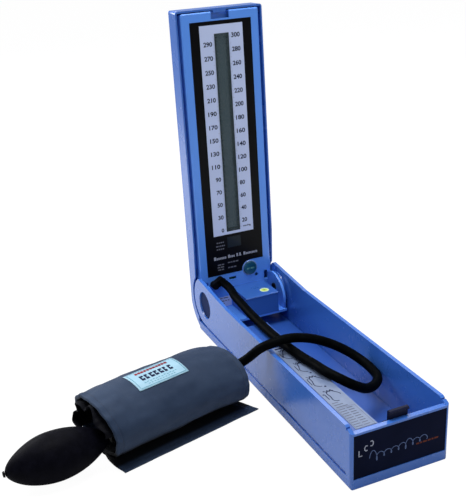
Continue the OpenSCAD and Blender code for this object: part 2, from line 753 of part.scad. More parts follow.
module sensor_box() color(panel_blue) in_lid() difference() {
    block([box_left, box_front, foot_z + foot_t], [box_right, panel_y, box_top - box_cover_t]);
    block([box_left + box_wall, box_front + box_wall, foot_z + foot_t + box_wall],
        [box_right - box_wall, panel_y - box_wall, box_top + 1]);
    translate([sensor_port[0], panel_y + 1, sensor_port[1]]) rotate([90, 0, 0])
        cylinder(h = 5, r = 3);
}

module sensor_box_cover() color(panel_blue) in_lid() {
    difference() {
        block([box_left - 0.4, box_front - 0.4, box_top - box_cover_t + 0.1],
            [box_right + 0.4, panel_y - 0.1, box_top]);
        // chamfer along the front edge
        translate([0, box_front - 0.4, box_top]) rotate([45, 0, 0])
            translate([-50, -0.5, -0.5]) cube([100, 1, 1]);
    }
    difference() {
        block([box_left + box_wall + play, box_front + box_wall + play, box_top - box_cover_t - 1.6],
            [box_right - box_wall - play, panel_y - box_wall - play, box_top - box_cover_t + 0.2]);
        block([box_left + 2 * box_wall, box_front + 2 * box_wall, box_top - box_cover_t - 3],
            [box_right - 2 * box_wall, panel_y - 2 * box_wall, box_top - box_cover_t + 0.1]);
    }
}

module check_seal() color("#d8ec58") in_lid()
    translate([21, -12.5, box_top]) cylinder(h = 0.25, r = 5.3);

module pressure_sensor() color("#30343a") in_lid() {
    block([-2, -18, foot_z + foot_t + box_wall], [18, 0, foot_z + foot_t + box_wall + 1.4]);
    block([1, -15, foot_z + foot_t + box_wall + 1.3], [13, -2, -8.5]);
    rod([sensor_port[0], -2.1, sensor_port[1]], [sensor_port[0], sensor_port_y - 0.1, sensor_port[1]], 1.9);
}

module sensor_tube() color(rubber) in_lid() sweep(smooth(sensor_tube_route, 2), 2.4, 8);

// Two round eyes joined by an arm, with the hose's collar in front and the stem behind.
module hose_elbow() color(black) in_lid() {
    eye_r = elbow_r + 0.6;
    arm = outlet - stem;
    translate([0, elbow_y + eye_r, 0]) rotate([90, 0, 0]) linear_extrude(2 * eye_r - 1) union() {
        translate(stem) circle(eye_r, $fn = 32);
        translate(outlet) circle(eye_r, $fn = 32);
        translate(stem) rotate([0, 0, atan2(arm[1], arm[0])])
            translate([0, -elbow_r]) square([norm(arm), 2 * elbow_r]);
    }
    rod([stem[0], elbow_rear, stem[1]], [stem[0], elbow_y, stem[1]], stem_r);
    rod([outlet[0], elbow_y, outlet[1]], [outlet[0], elbow_y - collar_len, outlet[1]],
        elbow_r, hose_d / 2 + 0.3);
}

module hose() color(rubber) sweep(smooth(hose_route, 2), hose_d / 2, 10);

// ---- cuff and bulb ----

// A layer of the roll in end view: turns of cloth from one angle to another, counted from
// underneath towards the back. Drawn with X to the back and Y up.
function roll_point(angle, r) = [r * roll_wide * sin(angle), roll_z - r * roll_high * cos(angle)];

module roll_layer(from, to, r, pitch, t) {
    step = (to - from) / round((to - from) / 9);
    polygon(concat(
        [for (a = [from:step:to + 0.01]) roll_point(a, r - pitch * a / 360)],
        [for (a = [to:-step:from - 0.01]) roll_point(a, r - pitch * a / 360 - t)]));
}

// The roll's own frame: X along its axis from its left end, Y to its back.
module in_roll() {
    translate([roll_left[0], roll_left[1], 0]) rotate([0, 0, roll_angle]) children();
}

module cuff_wrap() color(cloth) difference() {
    in_roll() difference() {
        union() {
            rotate([90, 0, 90]) linear_extrude(cuff_len)
                roll_layer(0, 360 * roll_turns, roll_r, roll_pitch, cuff_t);
            linear_extrude(cuff_t - 0.3) polygon([
                [9, 0.5], [7, -16], [8.5, -flap_reach + 3.5], [cuff_len + 9, -flap_reach], [cuff_len - 4, 0.5]]);
        }
        // the left end is cut at a slant, and its upper edge stands out
        translate([0, 0, 2 * roll_z]) rotate([0, -end_slant, 0])
            translate([-50, -100, -150]) cube([50, 200, 200]);
        // the bladder's pocket between the layers of cloth
        translate([26, 0, 0]) rotate([90, 0, 90]) linear_extrude(bladder_len)
            roll_layer(60, 215, roll_r - (cuff_t - pocket_t) / 2, roll_pitch, pocket_t);
    }
    port_hole(hose_end, [-1, 0, 0]);
    port_hole(bulb_tube_end, bulb_tube_aim);
}

// Where the tubes' ports pass through the inner layer of cloth.
module port_hole(p, aim) {
    q = p + aim * port_len;
    rod(q, [q[0], q[1], 2 * roll_z - 4.5], port_r + 0.9);
}

// A port stands up from a tube's end into the bladder.
module port(p, aim) {
    q = p + aim * port_len;
    rod(p, q, port_r);
    rod([q[0], q[1], q[2] - port_r - 1], [q[0], q[1], 2 * roll_z - 5.2], port_r + 0.7);
}

module cuff_label() color("#cfe6ea") in_roll()
    translate([43, 0, 0]) rotate([90, 0, 90]) linear_extrude(53)
        roll_layer(159, 204, roll_r + label_t + 0.15, roll_pitch, label_t);

module cuff_bladder() color("#2a2a2e") {
    in_roll() translate([26.5, 0, 0]) rotate([90, 0, 90]) linear_extrude(bladder_len - 1)
        roll_layer(60, 215, roll_r - (cuff_t - pocket_t) / 2 - 0.15, roll_pitch, pocket_t - 0.3);
    port(hose_end, [-1, 0, 0]);
    port(bulb_tube_end, bulb_tube_aim);
}

// A side view of the bulb turned about its axis.
function bulb_radius(u) = bulb_d / 2 * pow(sin(180 * pow(u, 0.92)), 0.62);

module bulb() color(rubber) in_bulb() rotate_extrude($fn = 48) difference() {
    polygon(concat(
        [[0, 0]],
        [for (i = [0:18]) let (u = 0.012 + 0.95 * i / 18) [bulb_radius(u), bulb_len * u]],
        [[valve_r, bulb_len], [0, bulb_len]]));
    polygon(concat(
        [[0, 5]],
        [for (i = [0:14]) let (u = 0.06 + 0.83 * i / 14) [bulb_radius(u) - bulb_wall, bulb_len * u]],
        [[0, bulb_len * 0.89]]));
}

// The bulb's own frame: Z from its tip to the valve.
module in_bulb() {
    translate(bulb_tip) rotate([0, acos(bulb_aim[2]), atan2(bulb_aim[1], bulb_aim[0])]) children();
}

module intake_valve() color("silver") in_bulb() translate([0, 0, -1.6]) difference() {
    cylinder(h = 1.6, r1 = 2.4, r2 = 3, $fn = 32);
    translate([0, 0, -1]) cylinder(h = 2, r = 0.8, $fn = 24);
}

module release_valve() color("silver") in_bulb() translate([0, 0, bulb_len]) {
    cylinder(h = valve_len, r = valve_r);
    translate([0, 0, 2]) cylinder(h = 2, r = valve_r + 0.8);
    difference() {
        translate([0, 0, valve_len / 2]) rotate([0, -90, 0]) cylinder(h = valve_r + 3, r = 3.6, $fn = 32);
        translate([0, 0, valve_len / 2]) rotate([0, -90, 0])
            cylinder(h = valve_r + 4, r = 2 + pin_play, $fn = 32);
    }
}

module valve_screw() color("silver") in_bulb() translate([0, 0, bulb_len + valve_len / 2])
    rotate([0, -90, 0]) translate([0, 0, valve_r + 3.4]) {
        cylinder(h = 4.5, r = screw_head_r, $fn = 12);
        translate([0, 0, -2.6]) cylinder(h = 2.8, r = 2, $fn = 32);
    }

module bulb_tube() color(rubber) sweep(smooth(bulb_tube_route, 2), hose_d / 2 - 0.4, 8);

base_case();
bottom_cover();
tray_liner();
cover_screws();
front_plate();
instruction_sheet();
panel_label();
hinge_pins();
pivot_caps();
latch_guide();
latch_tongue();
lid_shell();
lid_panel();
lid_screws();
fascia();
scale_plate();
column_glass();
column_display();
status_window();
button_ring();
power_button();
circuit_board();
battery_holder();
battery_contacts();
batteries();
battery_door();
sensor_box();
sensor_box_cover();
check_seal();
pressure_sensor();
sensor_tube();
hose_elbow();
hose();
cuff_wrap();
cuff_label();
cuff_bladder();
bulb();
intake_valve();
release_valve();
valve_screw();
bulb_tube();
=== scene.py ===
import math

import bmesh
import bpy
from mathutils import Matrix, Vector, noise


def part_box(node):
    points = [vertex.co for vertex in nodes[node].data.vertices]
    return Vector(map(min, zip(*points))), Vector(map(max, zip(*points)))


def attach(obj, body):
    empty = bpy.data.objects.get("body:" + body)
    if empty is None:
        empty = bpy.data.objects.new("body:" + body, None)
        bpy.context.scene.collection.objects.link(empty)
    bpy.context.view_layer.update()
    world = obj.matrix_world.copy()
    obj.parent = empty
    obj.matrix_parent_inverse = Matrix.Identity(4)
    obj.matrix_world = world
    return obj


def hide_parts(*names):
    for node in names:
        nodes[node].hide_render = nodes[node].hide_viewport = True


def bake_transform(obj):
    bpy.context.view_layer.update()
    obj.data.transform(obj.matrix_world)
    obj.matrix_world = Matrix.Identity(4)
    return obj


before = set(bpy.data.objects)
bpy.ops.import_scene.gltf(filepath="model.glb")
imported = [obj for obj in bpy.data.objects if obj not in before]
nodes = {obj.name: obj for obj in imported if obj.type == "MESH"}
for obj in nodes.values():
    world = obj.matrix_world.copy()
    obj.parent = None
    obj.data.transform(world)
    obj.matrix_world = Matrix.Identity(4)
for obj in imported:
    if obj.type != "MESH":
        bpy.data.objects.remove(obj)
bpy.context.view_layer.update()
scene = bpy.context.scene

MM = 0.001
HINGE = Vector((0, 157, 41))  # the lid's axis, in millimetres
LEAN = math.radians(2)  # how far the open lid leans back
PROUD = 0.05  # how far marks and stitches stand off what they lie on
MERGE = 0.01 * MM


# ---------------- camera

CAMERA_AT = Vector((-360.9, -665.23, 463.03)) * MM
CAMERA_AZIMUTH = math.radians(-23.118)
CAMERA_ELEVATION = math.radians(22.224)
CAMERA_ROLL = math.radians(-2.791)
CAMERA_LENS = 62.85


def make_camera():
    """The photograph's own camera, as fitted to the case's edges."""
    data = bpy.data.cameras.new("photo_camera")
    data.lens = CAMERA_LENS
    data.sensor_width = 36
    data.clip_start = 0.01
    cam = bpy.data.objects.new("photo_camera", data)
    scene.collection.objects.link(cam)
    turn = (Matrix.Rotation(CAMERA_AZIMUTH, 4, "Z")
            @ Matrix.Rotation(math.pi / 2 - CAMERA_ELEVATION, 4, "X")
            @ Matrix.Rotation(CAMERA_ROLL, 4, "Z"))
    cam.matrix_world = Matrix.Translation(CAMERA_AT) @ turn
    scene.camera = cam


make_camera()


# ---------------- small helpers

def lid_point(x, y, z):
    """A point of the upright lid's own frame, in millimetres, as a place in metres."""
    c, s = math.cos(LEAN), math.sin(LEAN)
    return Vector((x, HINGE.y + y * c + z * s, HINGE.z - y * s + z * c)) * MM


def smoothstep(low, high, v):
    t = min(1, max(0, (v - low) / (high - low)))
    return t * t * (3 - 2 * t)


def new_object(name, verts, faces, smooth=True):
    mesh = bpy.data.meshes.new(name)
    mesh.from_pydata([tuple(v) for v in verts], [], faces)
    mesh.validate()
    ob = bpy.data.objects.new(name, mesh)
    scene.collection.objects.link(ob)
    for p in mesh.polygons:
        p.use_smooth = smooth
    return ob


def set_material(ob, mat):
    ob.data.materials.clear()
    ob.data.materials.append(mat)


def stands_for(ob, node, body):
    """The piece replaces a CAD node, which it hides, and rides on its body."""
    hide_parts(node)
    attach(ob, body)


def tidy_mesh(ob, merge=MERGE):
    """Joins doubled points and turns every face outwards."""
    bm = bmesh.new()
    bm.from_mesh(ob.data)
    bmesh.ops.remove_doubles(bm, verts=bm.verts, dist=merge)
    bmesh.ops.recalc_face_normals(bm, faces=bm.faces)
    bm.to_mesh(ob.data)
    bm.free()


def curve_point(p, i, t):
    """The same smooth curve through the route's points as in the part's source."""
    a, b, c, d = p[max(i - 1, 0)], p[i], p[i + 1], p[min(i + 2, len(p) - 1)]
    return 0.5 * (2 * b + (c - a) * t + (2 * a - 5 * b + 4 * c - d) * t * t
                  + (3 * b - a - 3 * c + d) * t ** 3)


def smooth_path(points, steps):
    out = []
    for i in range(len(points) - 1):
        for k in range(steps):
            out.append(curve_point(points, i, k / steps))
    out.append(points[-1].copy())
    return out


def grid_faces(rows, cols, closed=False):
    """Four-sided faces over a grid of points, row by row. closed joins each row's two ends."""
    faces = []
    for i in range(rows - 1):
        for j in range(cols if closed else cols - 1):
            k = (j + 1) % cols
            faces.append((i * cols + j, i * cols + k, (i + 1) * cols + k, (i + 1) * cols + j))
    return faces


def end_caps(rows, cols):
    """The faces that close a tube of rings at its first and last ring."""
    return [tuple(range(cols))[::-1], tuple((rows - 1) * cols + j for j in range(cols))]


def tube(name, path, radius, sides):
    """A capped tube along a path that never points straight up."""
    verts = []
    n = len(path)
    up = Vector((0, 0, 1))
    for i, p in enumerate(path):
        t = (path[min(i + 1, n - 1)] - path[max(i - 1, 0)]).normalized()
        side = t.cross(up).normalized()
        other = side.cross(t).normalized()
        for j in range(sides):
            a = 2 * math.pi * j / sides
            verts.append(p + side * math.cos(a) * radius + other * math.sin(a) * radius)
    return new_object(name, verts, grid_faces(n, sides, True) + end_caps(n, sides))


class Print:
    """Flat marks gathered in one mesh, laid on a surface. place turns two surface values into a
    point, in metres, just proud of that surface."""

    BOLDER = 0.028  # thickens the strokes, as a share of the font's size

    def __init__(self, name, place):
        self.name, self.place = name, place
        self.verts, self.faces = [], []

    def shape(self, points):
        start = len(self.verts)
        self.verts += [self.place(u, v) for u, v in points]
        self.faces.append(tuple(range(start, len(self.verts))))

    def bar(self, u, v, width, height):
        """A bar by its lower left corner."""
        self.shape([(u, v), (u + width, v), (u + width, v + height), (u, v + height)])

    def bars(self, u, v, widths, height, gap):
        """A row of bars of different widths."""
        for w in widths:
            self.bar(u, v, w, height)
            u += w + gap

    def row(self, u, v, count, step, width, height):
        """Equal bars side by side, their left ends a step apart."""
        for k in range(count):
            self.bar(u + k * step, v, width, height)

    def uneven_bars(self, u, v, widths, gap, wide, low, tall):
        """A row of bars, tall where a bar is at least as broad as wide and low elsewhere.
        It returns where the next bar would start."""
        for w in widths:
            self.bar(u, v, w, tall if w >= wide else low)
            u += w + gap
        return u

    def disc(self, u, v, r, sides=20):
        turn = 2 * math.pi / sides
        self.shape([(u + r * math.cos(k * turn), v + r * math.sin(k * turn)) for k in range(sides)])

    def frame(self, u, v, width, height, line):
        self.bar(u, v, width, line)
        self.bar(u, v + height - line, width, line)
        self.bar(u, v + line, line, height - 2 * line)
        self.bar(u + width - line, v + line, line, height - 2 * line)

    def stroke(self, points, width):
        """An even line through the points."""
        n = len(points)
        left, right = [], []
        for i, (u, v) in enumerate(points):
            a, b = points[max(i - 1, 0)], points[min(i + 1, n - 1)]
            d = Vector((b[0] - a[0], b[1] - a[1])).normalized() * width / 2
            left.append((u - d.y, v + d.x))
            right.append((u + d.y, v - d.x))
        for i in range(n - 1):
            self.shape([right[i], right[i + 1], left[i + 1], left[i]])

    def text(self, body, u, v, height, width=None, align=0.0):
        """Digits or a unit in Blender's own font, height tall, with the lower left corner at u, v,
        or, with align 1, the lower right one."""
        curve = bpy.data.curves.new("digits", "FONT")
        curve.body = body
        curve.size = 1
        curve.offset = self.BOLDER
        curve.resolution_u = 3
        ob = bpy.data.objects.new("digits", curve)
        scene.collection.objects.link(ob)
        bpy.context.view_layer.update()
        flat = ob.evaluated_get(bpy.context.evaluated_depsgraph_get())
        mesh = bpy.data.meshes.new_from_object(flat)
        xs = [p.co.x for p in mesh.vertices]
        ys = [p.co.y for p in mesh.vertices]
        x0, y0 = min(xs), min(ys)
        tall = height / (max(ys) - y0)
        wide = width / (max(xs) - x0) if width else tall
        shift = align * wide * (max(xs) - x0)
        start = len(self.verts)
        self.verts += [self.place(u - shift + (p.co.x - x0) * wide, v + (p.co.y - y0) * tall)
                       for p in mesh.vertices]
        self.faces += [tuple(start + i for i in f.vertices) for f in mesh.polygons]
        bpy.data.objects.remove(ob)
        bpy.data.curves.remove(curve)
        bpy.data.meshes.remove(mesh)

    def done(self, mat, body):
        """Makes the marks one piece, which rides on a body and takes the finish it is given."""
        ob = new_object(self.name, self.verts, self.faces, False)
        set_material(ob, mat)
        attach(ob, body)


# ---------------- materials

class Shader:
    """A small wrapper round one material's nodes. Scales are per metre of the piece."""

    MIX_INPUTS, MIX_OUTPUT = (0, 6, 7), 2  # a colour mix's factor, its two colours, its result

    def __init__(self, name, **sockets):
        self.mat = bpy.data.materials.new(name)
        self.mat.use_nodes = True
        self.nt = self.mat.node_tree
        self.bsdf = self.nt.nodes["Principled BSDF"]
        self.coord = self.nt.nodes.new("ShaderNodeTexCoord")
        for key, value in sockets.items():
            self.put(key.replace("_", " "), value)

    def put(self, socket, value):
        """Sets one of the main shader's own sockets, by its name in small letters."""
        found = {s.name.lower(): s for s in self.bsdf.inputs}[socket]
        found.default_value = value

    def node(self, kind, **values):
        n = self.nt.nodes.new(kind)
        for key, value in values.items():
            setattr(n, key, value)
        return n

    def link(self, a, b):
        self.nt.links.new(a, b)

    def noise(self, scale, detail=4.0, rough=0.55, stretch=None):
        n = self.node("ShaderNodeTexNoise")
        n.inputs["Scale"].default_value = scale
        n.inputs["Detail"].default_value = detail
        n.inputs["Roughness"].default_value = rough
        src = self.coord.outputs["Object"]
        if stretch:
            m = self.node("ShaderNodeMapping")
            m.inputs["Scale"].default_value = stretch
            self.link(src, m.inputs["Vector"])
            src = m.outputs["Vector"]
        self.link(src, n.inputs["Vector"])
        return n.outputs["Fac"]

    def bands(self, scale, direction, coord, distort):
        """Even waves along X, Y or Z, from 0 to 1."""
        n = self.node("ShaderNodeTexWave", wave_type="BANDS", bands_direction=direction)
        n.inputs["Scale"].default_value = scale
        n.inputs["Distortion"].default_value = distort
        self.link(coord, n.inputs["Vector"])
        return n.outputs["Fac"]

    def distance(self, point):
        n = self.node("ShaderNodeVectorMath", operation="DISTANCE")
        self.link(self.coord.outputs["Object"], n.inputs[0])
        n.inputs[1].default_value = tuple(point)
        return n.outputs["Value"]

    def axis(self, which, coord=None):
        n = self.node("ShaderNodeSeparateXYZ")
        self.link(coord or self.coord.outputs["Object"], n.inputs[0])
        return n.outputs[which]

    def ramp(self, source, stops):
        """Colours, or greys, at places from 0 to 1."""
        n = self.node("ShaderNodeValToRGB")
        e = n.color_ramp.elements
        while len(e) < len(stops):
            e.new(0.5)
        for item, (at, color) in zip(e, stops):
            item.position = at
            if not isinstance(color, tuple):
                color = (color, color, color)
            item.color = color + (1,)
        self.link(source, n.inputs["Fac"])
        return n.outputs["Color"]

    def range(self, source, low, high, to_low, to_high):
        n = self.node("ShaderNodeMapRange")
        n.inputs["From Min"].default_value = low
        n.inputs["From Max"].default_value = high
        n.inputs["To Min"].default_value = to_low
        n.inputs["To Max"].default_value = to_high
        self.link(source, n.inputs["Value"])
        return n.outputs["Result"]

    def mix(self, fac, a, b, blend="MIX"):
        n = self.node("ShaderNodeMix", data_type="RGBA", blend_type=blend)
        for value, at in zip((fac, a, b), self.MIX_INPUTS):
            if isinstance(value, bpy.types.NodeSocket):
                self.link(value, n.inputs[at])
            elif isinstance(value, tuple):
                n.inputs[at].default_value = value + (1,)
            else:
                n.inputs[at].default_value = value
        return n.outputs[self.MIX_OUTPUT]

    def math(self, op, a, b=0.0):
        n = self.node("ShaderNodeMath", operation=op)
        for i, value in enumerate((a, b)):
            if isinstance(value, bpy.types.NodeSocket):
                self.link(value, n.inputs[i])
            else:
                n.inputs[i].default_value = value
        return n.outputs[0]

    def bump(self, height, strength, distance):
        n = self.node("ShaderNodeBump")
        n.inputs["Strength"].default_value = strength
        n.inputs["Distance"].default_value = distance
        self.link(height, n.inputs["Height"])
        self.link(n.outputs["Normal"], self.bsdf.inputs["Normal"])

    def color(self, socket):
        self.link(socket, self.bsdf.inputs["Base Color"])

    def rough(self, socket):
        self.link(socket, self.bsdf.inputs["Roughness"])

    def shades(self, dark, light, scale, detail=4.0, low=0.3, high=0.7, **more):
        """A base colour that drifts between two shades."""
        self.color(self.ramp(self.noise(scale, detail, **more), [(low, dark), (high, light)]))

    def gloss(self, low, high, scale, detail=3.0, **more):
        """A roughness that drifts between two values."""
        self.rough(self.range(self.noise(scale, detail, **more), 0.3, 0.7, low, high))


def times(color, factor, lift=0.0):
    return tuple(c * factor + lift for c in color)


def plastic(name, color, rough=0.3, coat=0.25, speck=0.06, bump=0.08, grain=900, shine=0.5):
    """Moulded plastic, paint or ink. speck is how far its colour drifts either way."""
    s = Shader(name, coat_weight=coat, coat_roughness=0.16)
    s.put("specular ior level", shine)
    s.shades(times(color, 1 - speck), times(color, 1 + speck, 0.002), 14, 3, 0.35, 0.65)
    s.gloss(rough - 0.03, rough + 0.03, 60, 4)
    s.bump(s.noise(grain, 2), bump, 0.0002)
    return s.mat


def paint(name, color, rough=0.5, **more):
    """A dull print or a black fitting, without a clear coat."""
    return plastic(name, color, rough, coat=0.0, **more)


# the mouldings
m_case = plastic("case_plastic", (0.036, 0.142, 0.53), 0.26, coat=0.4, speck=0.02, bump=0.015)
# painted shade: the case's blue made darker for the tray inside, standing for the shade there
m_liner_painted_shade = plastic("liner_plastic_painted_shade", (0.02, 0.082, 0.36), 0.36, coat=0.1, speck=0.03)
# painted light: the case's blue made lighter for the lid's panel, standing for the light on its face
m_panel_painted_light = plastic("panel_plastic_painted_light", (0.095, 0.3, 0.9), 0.32, speck=0.02)
m_box = plastic("box_plastic", (0.03, 0.12, 0.45), speck=0.03)
m_ring = plastic("ring_plastic", (0.16, 0.26, 0.58), coat=0.3)
m_board = plastic("board_lacquer", (0.015, 0.12, 0.045), coat=0.4)
m_cover = paint("cover_plastic", (0.04, 0.11, 0.4), bump=0.3, grain=500)
m_cap = paint("cap_plastic", (0.01, 0.022, 0.085), shine=0.02)
m_plate = paint("plate_lacquer", (0.001, 0.0035, 0.02), 0.4, speck=0.2, shine=0.03)
m_latch = paint("latch_plastic", (0.003, 0.005, 0.026), 0.4, speck=0.2, shine=0.15)
m_valve = paint("valve_black", (0.0015, 0.0015, 0.002), 0.4, speck=0.2, shine=0.1)
m_black = paint("black_plastic", (0.0015, 0.0015, 0.0025), 0.3, speck=0.3, shine=0.12)
m_matt = paint("matt_black", (0.002, 0.002, 0.0035), speck=0.3, bump=0.3, shine=0.06)
m_scale = paint("scale_white", (0.54, 0.63, 0.9), 0.45, speck=0.04, shine=0.3)

# the inks and other flat marks
m_ink = paint("ink_navy", (0.008, 0.012, 0.045), 0.6, speck=0.2, shine=0.1)
m_ink_soft = paint("ink_grey", (0.12, 0.14, 0.2), 0.6, speck=0.2, shine=0.1)
m_ink_red = paint("ink_red", (0.2, 0.012, 0.02), 0.6, speck=0.2, shine=0.1)
m_ink_teal = paint("ink_teal", (0.05, 0.22, 0.3), 0.6, speck=0.2, shine=0.1)
m_print_grey = paint("print_grey", (0.14, 0.15, 0.19), shine=0.1)
m_print_pale = paint("print_pale", (0.34, 0.37, 0.46), shine=0.1)
m_print_silver = paint("print_silver", (0.09, 0.14, 0.3), 0.4, shine=0.2)
m_print_amber = paint("print_amber", (0.12, 0.025, 0.01), shine=0.1)
m_mark = paint("mark_teal", (0.1, 0.3, 0.3), 0.4, shine=0.2)
m_segment = paint("segment_dark", (0.03, 0.042, 0.05), shine=0.1)


def metal(name, color, rough, scratch=0.25):
    s = Shader(name, metallic=1.0)
    s.shades(times(color, 0.8), color, 300, 5, stretch=(1, 1, 8))
    s.gloss(rough * 0.7, rough * 1.4, 700, 4, stretch=(1, 6, 1))
    s.bump(s.noise(1500, 2), scratch, 0.0001)
    return s.mat


m_steel = metal("plated_steel", (0.6, 0.61, 0.64), 0.28)
m_nickel = metal("black_nickel", (0.025, 0.025, 0.03), 0.4, 0.1)


def rubber(name, color, rough, dust, shine):
    """Rubber with a dusty drift of its colour and roughness."""
    s = Shader(name)
    s.put("specular ior level", shine)
    s.shades(color, times(color, 1.8, 0.001), 120, 6, 0.4, 0.75, rough=0.65)
    s.gloss(rough - dust * 0.25, rough + dust * 0.35, 45, 5)
    s.bump(s.noise(1400, 3), 0.35, 0.0003)
    return s.mat


m_hose = rubber("hose_rubber", (0.001, 0.0014, 0.0018), 0.45, dust=0.2, shine=0.015)
m_bulb = rubber("bulb_rubber", (0.0014, 0.0014, 0.0034), 0.5, dust=0.15, shine=0.03)

UV_PER_MM = 0.1
THREAD = 0.75
TUCK_FROM, TUCK_TO = -4, 26


def woven(name, dark, light, shine=0.1, sheen=0.03, shade=False):
    """A close plain weave, laid out by the piece's own UV map. Its last argument, when true, paints shade
    into the colour, nearly black, in the tuck where the roll lies on its flap."""
    s = Shader(name, sheen_weight=sheen, sheen_roughness=0.5)
    s.put("specular ior level", shine)
    uv = s.coord.outputs["UV"]
    warp = s.bands(math.pi / THREAD, "X", uv, 0.4)
    weft = s.bands(math.pi / THREAD, "Y", uv, 0.4)
    weave = s.math("MAXIMUM", warp, weft)
    base = s.ramp(s.noise(26, 4, 0.6), [(0.3, dark), (0.7, light)])
    base = s.mix(s.math("MULTIPLY", weave, 0.16), base, times(light, 1.7))
    if shade:
        # painted shade, nearly black: where the flap runs in under the roll, and on the roll's lower
        # front from there round to the sheet's inner end
        along = s.range(s.axis("Y", uv), TUCK_FROM, TUCK_TO, 0, 1)
        painted_tuck_shade = s.ramp(along, [(0.038, 1.0), (0.05, 0.05), (0.15, 0.05), (0.195, 1.0),
                              (0.74, 1.0), (0.785, 0.08)])
        base = s.mix(1.0, base, painted_tuck_shade, "MULTIPLY")
    s.color(base)
    s.gloss(0.55, 0.72, 140)
    s.bump(s.math("ADD", s.math("MULTIPLY", weave, 0.5), s.noise(220, 4)), 0.3, 0.0004)
    return s.mat


# the cuff's nylon, with painted shade in the tuck under the roll
m_cloth = woven("cuff_nylon", (0.015, 0.027, 0.056), (0.03, 0.048, 0.088), shade=True)
# painted shade: nearly black cloth for the shaded inside of the roll's mouth
m_inner_painted_shade = woven("cuff_inner_painted_shade", (0.0015, 0.0015, 0.003), (0.004, 0.0045, 0.008), 0.06, sheen=0.0)
m_thread = paint("thread", (0.03, 0.038, 0.06), 0.7, speck=0.3, grain=2500, shine=0.2)


def label_satin():
    s = Shader("label_satin", sheen_weight=0.1)
    s.shades((0.25, 0.44, 0.57), (0.31, 0.51, 0.63), 120)
    s.gloss(0.45, 0.6, 200)
    s.bump(s.noise(900, 3), 0.25, 0.0002)
    return s.mat


def paper():
    s = Shader("paper", coat_weight=0.15, coat_roughness=0.2)
    s.shades((0.13, 0.175, 0.29), (0.175, 0.23, 0.36), 90, 5)
    s.gloss(0.32, 0.5, 200)
    s.bump(s.noise(1200, 2), 0.1, 0.0001)
    return s.mat


def seal_paper():
    """A dark green middle, a yellow-green ring and a pale rim."""
    low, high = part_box("check_seal")
    s = Shader("seal", coat_weight=0.3)
    out_from_middle = s.range(s.distance((low + high) / 2), 0, 5.6 * MM, 0, 1)
    rings = s.ramp(out_from_middle, [(0.0, (0.12, 0.3, 0.02)), (0.2, (0.2, 0.4, 0.03)),
                                     (0.3, (0.6, 0.75, 0.09)), (0.62, (0.66, 0.8, 0.14)),
                                     (0.74, (0.7, 0.9, 0.6)), (1.0, (0.62, 0.85, 0.7))])
    s.color(s.mix(s.range(s.noise(250, 3), 0.3, 0.7, 0, 0.25), rings, (0.5, 0.6, 0.1)))
    return s.mat


def cell_sleeve():
    s = Shader("cell_sleeve", metallic=0.6, roughness=0.3)
    s.shades((0.1, 0.1, 0.12), (0.5, 0.5, 0.55), 40, 2, 0.4, 0.6, stretch=(30, 1, 1))
    return s.mat


def button_teal():
    s = Shader("button_teal", coat_weight=0.5, coat_roughness=0.08)
    s.shades((0.003, 0.055, 0.11), (0.006, 0.09, 0.16), 60, 3)
    s.gloss(0.2, 0.3, 160)
    return s.mat


def display_grey():
    """The liquid crystal panel, darker towards both its long edges."""
    s = Shader("lcd_panel", coat_weight=0.1)
    from_middle = s.range(s.math("ABSOLUTE", s.axis("X")), 0, 8.4 * MM, 0, 1)
    shade = s.ramp(from_middle, [(0.0, (0.1, 0.155, 0.2)), (0.5, (0.085, 0.135, 0.175)),
                                 (0.72, (0.05, 0.08, 0.095)), (1.0, (0.015, 0.03, 0.045))])
    cloud = s.range(s.noise(35, 2, stretch=(1, 1, 0.3)), 0.3, 0.7, 0.2, 0.5)
    s.color(s.mix(cloud, shade, (0.08, 0.12, 0.13)))
    s.gloss(0.4, 0.5, 90, 2)
    return s.mat


def window_glass():
    s = Shader("window_glass", roughness=0.1, alpha=0.25)
    s.put("specular ior level", 0.25)
    s.shades((0.05, 0.08, 0.09), (0.07, 0.1, 0.11), 30, 2)
    return s.mat


def tinted_window():
    s = Shader("tinted_window", coat_weight=0.1)
    s.put("specular ior level", 0.2)
    s.shades((0.006, 0.012, 0.018), (0.01, 0.017, 0.024), 40, 2)
    s.gloss(0.3, 0.36, 90, 2)
    return s.mat


# ---------------- the hose, the one free cord

HOSE_D = 9.2
HOSE_STEP = 4.6
ELBOW_X, ELBOW_Y, ELBOW_Z = -21, 7.98, 16  # the elbow's mouth, in the lid's frame
HOSE_END = Vector((-108, 15, 37))


def hose_points():
    """The route that the part's source gives: out of the elbow, over the tray and into the roll."""
    start = [lid_point(ELBOW_X, ELBOW_Y - HOSE_STEP * k, ELBOW_Z) for k in range(4)]
    middle = [
        (-22, 138.3, 57.3), (-25.8, 121.5, 58.3), (-27, 105.1, 58.5), (-28.2, 89.4, 58.6),
        (-29.2, 73.7, 58.8), (-29.9, 58, 59), (-30.2, 42.4, 59), (-30.2, 26.9, 59),
        (-29.7, 11.2, 59), (-28.8, -4.4, 59), (-27.3, -19.9, 59), (-25.2, -35.5, 59),
        (-22.2, -50.4, 59), (-20.7, -66.1, 59.9), (-13.3, -79.9, 57.1), (-1.7, -85.3, 49.9),
        (14.7, -79.9, 38.8), (28.9, -72.5, 35.3), (38.1, -62.1, 35.4), (40.3, -46.5, 36.5),
        (36.6, -31.8, 40.3), (27.2, -21.4, 47.1), (14.6, -15.7, 54.6), (0.8, -13.3, 61.5),
        (-13.4, -11.8, 66.5), (-29.7, -11, 69.5), (-45.5, -9.5, 67.8), (-55.9, -2.9, 61.2),
        (-66.2, 9.3, 45.7), (-81.5, 14.4, 38)]
    end = [HOSE_END + Vector((HOSE_STEP * k, 0, 0)) for k in (3, 2, 1, 0)]
    return start + [Vector(p) * MM for p in middle + end]


hose_path = smooth_path(hose_points(), 6)
hose = tube("hose_tube", hose_path, HOSE_D / 2 * MM, 24)
set_material(hose, m_hose)
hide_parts("hose")
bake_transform(hose)


# ---------------- the rolled cuff

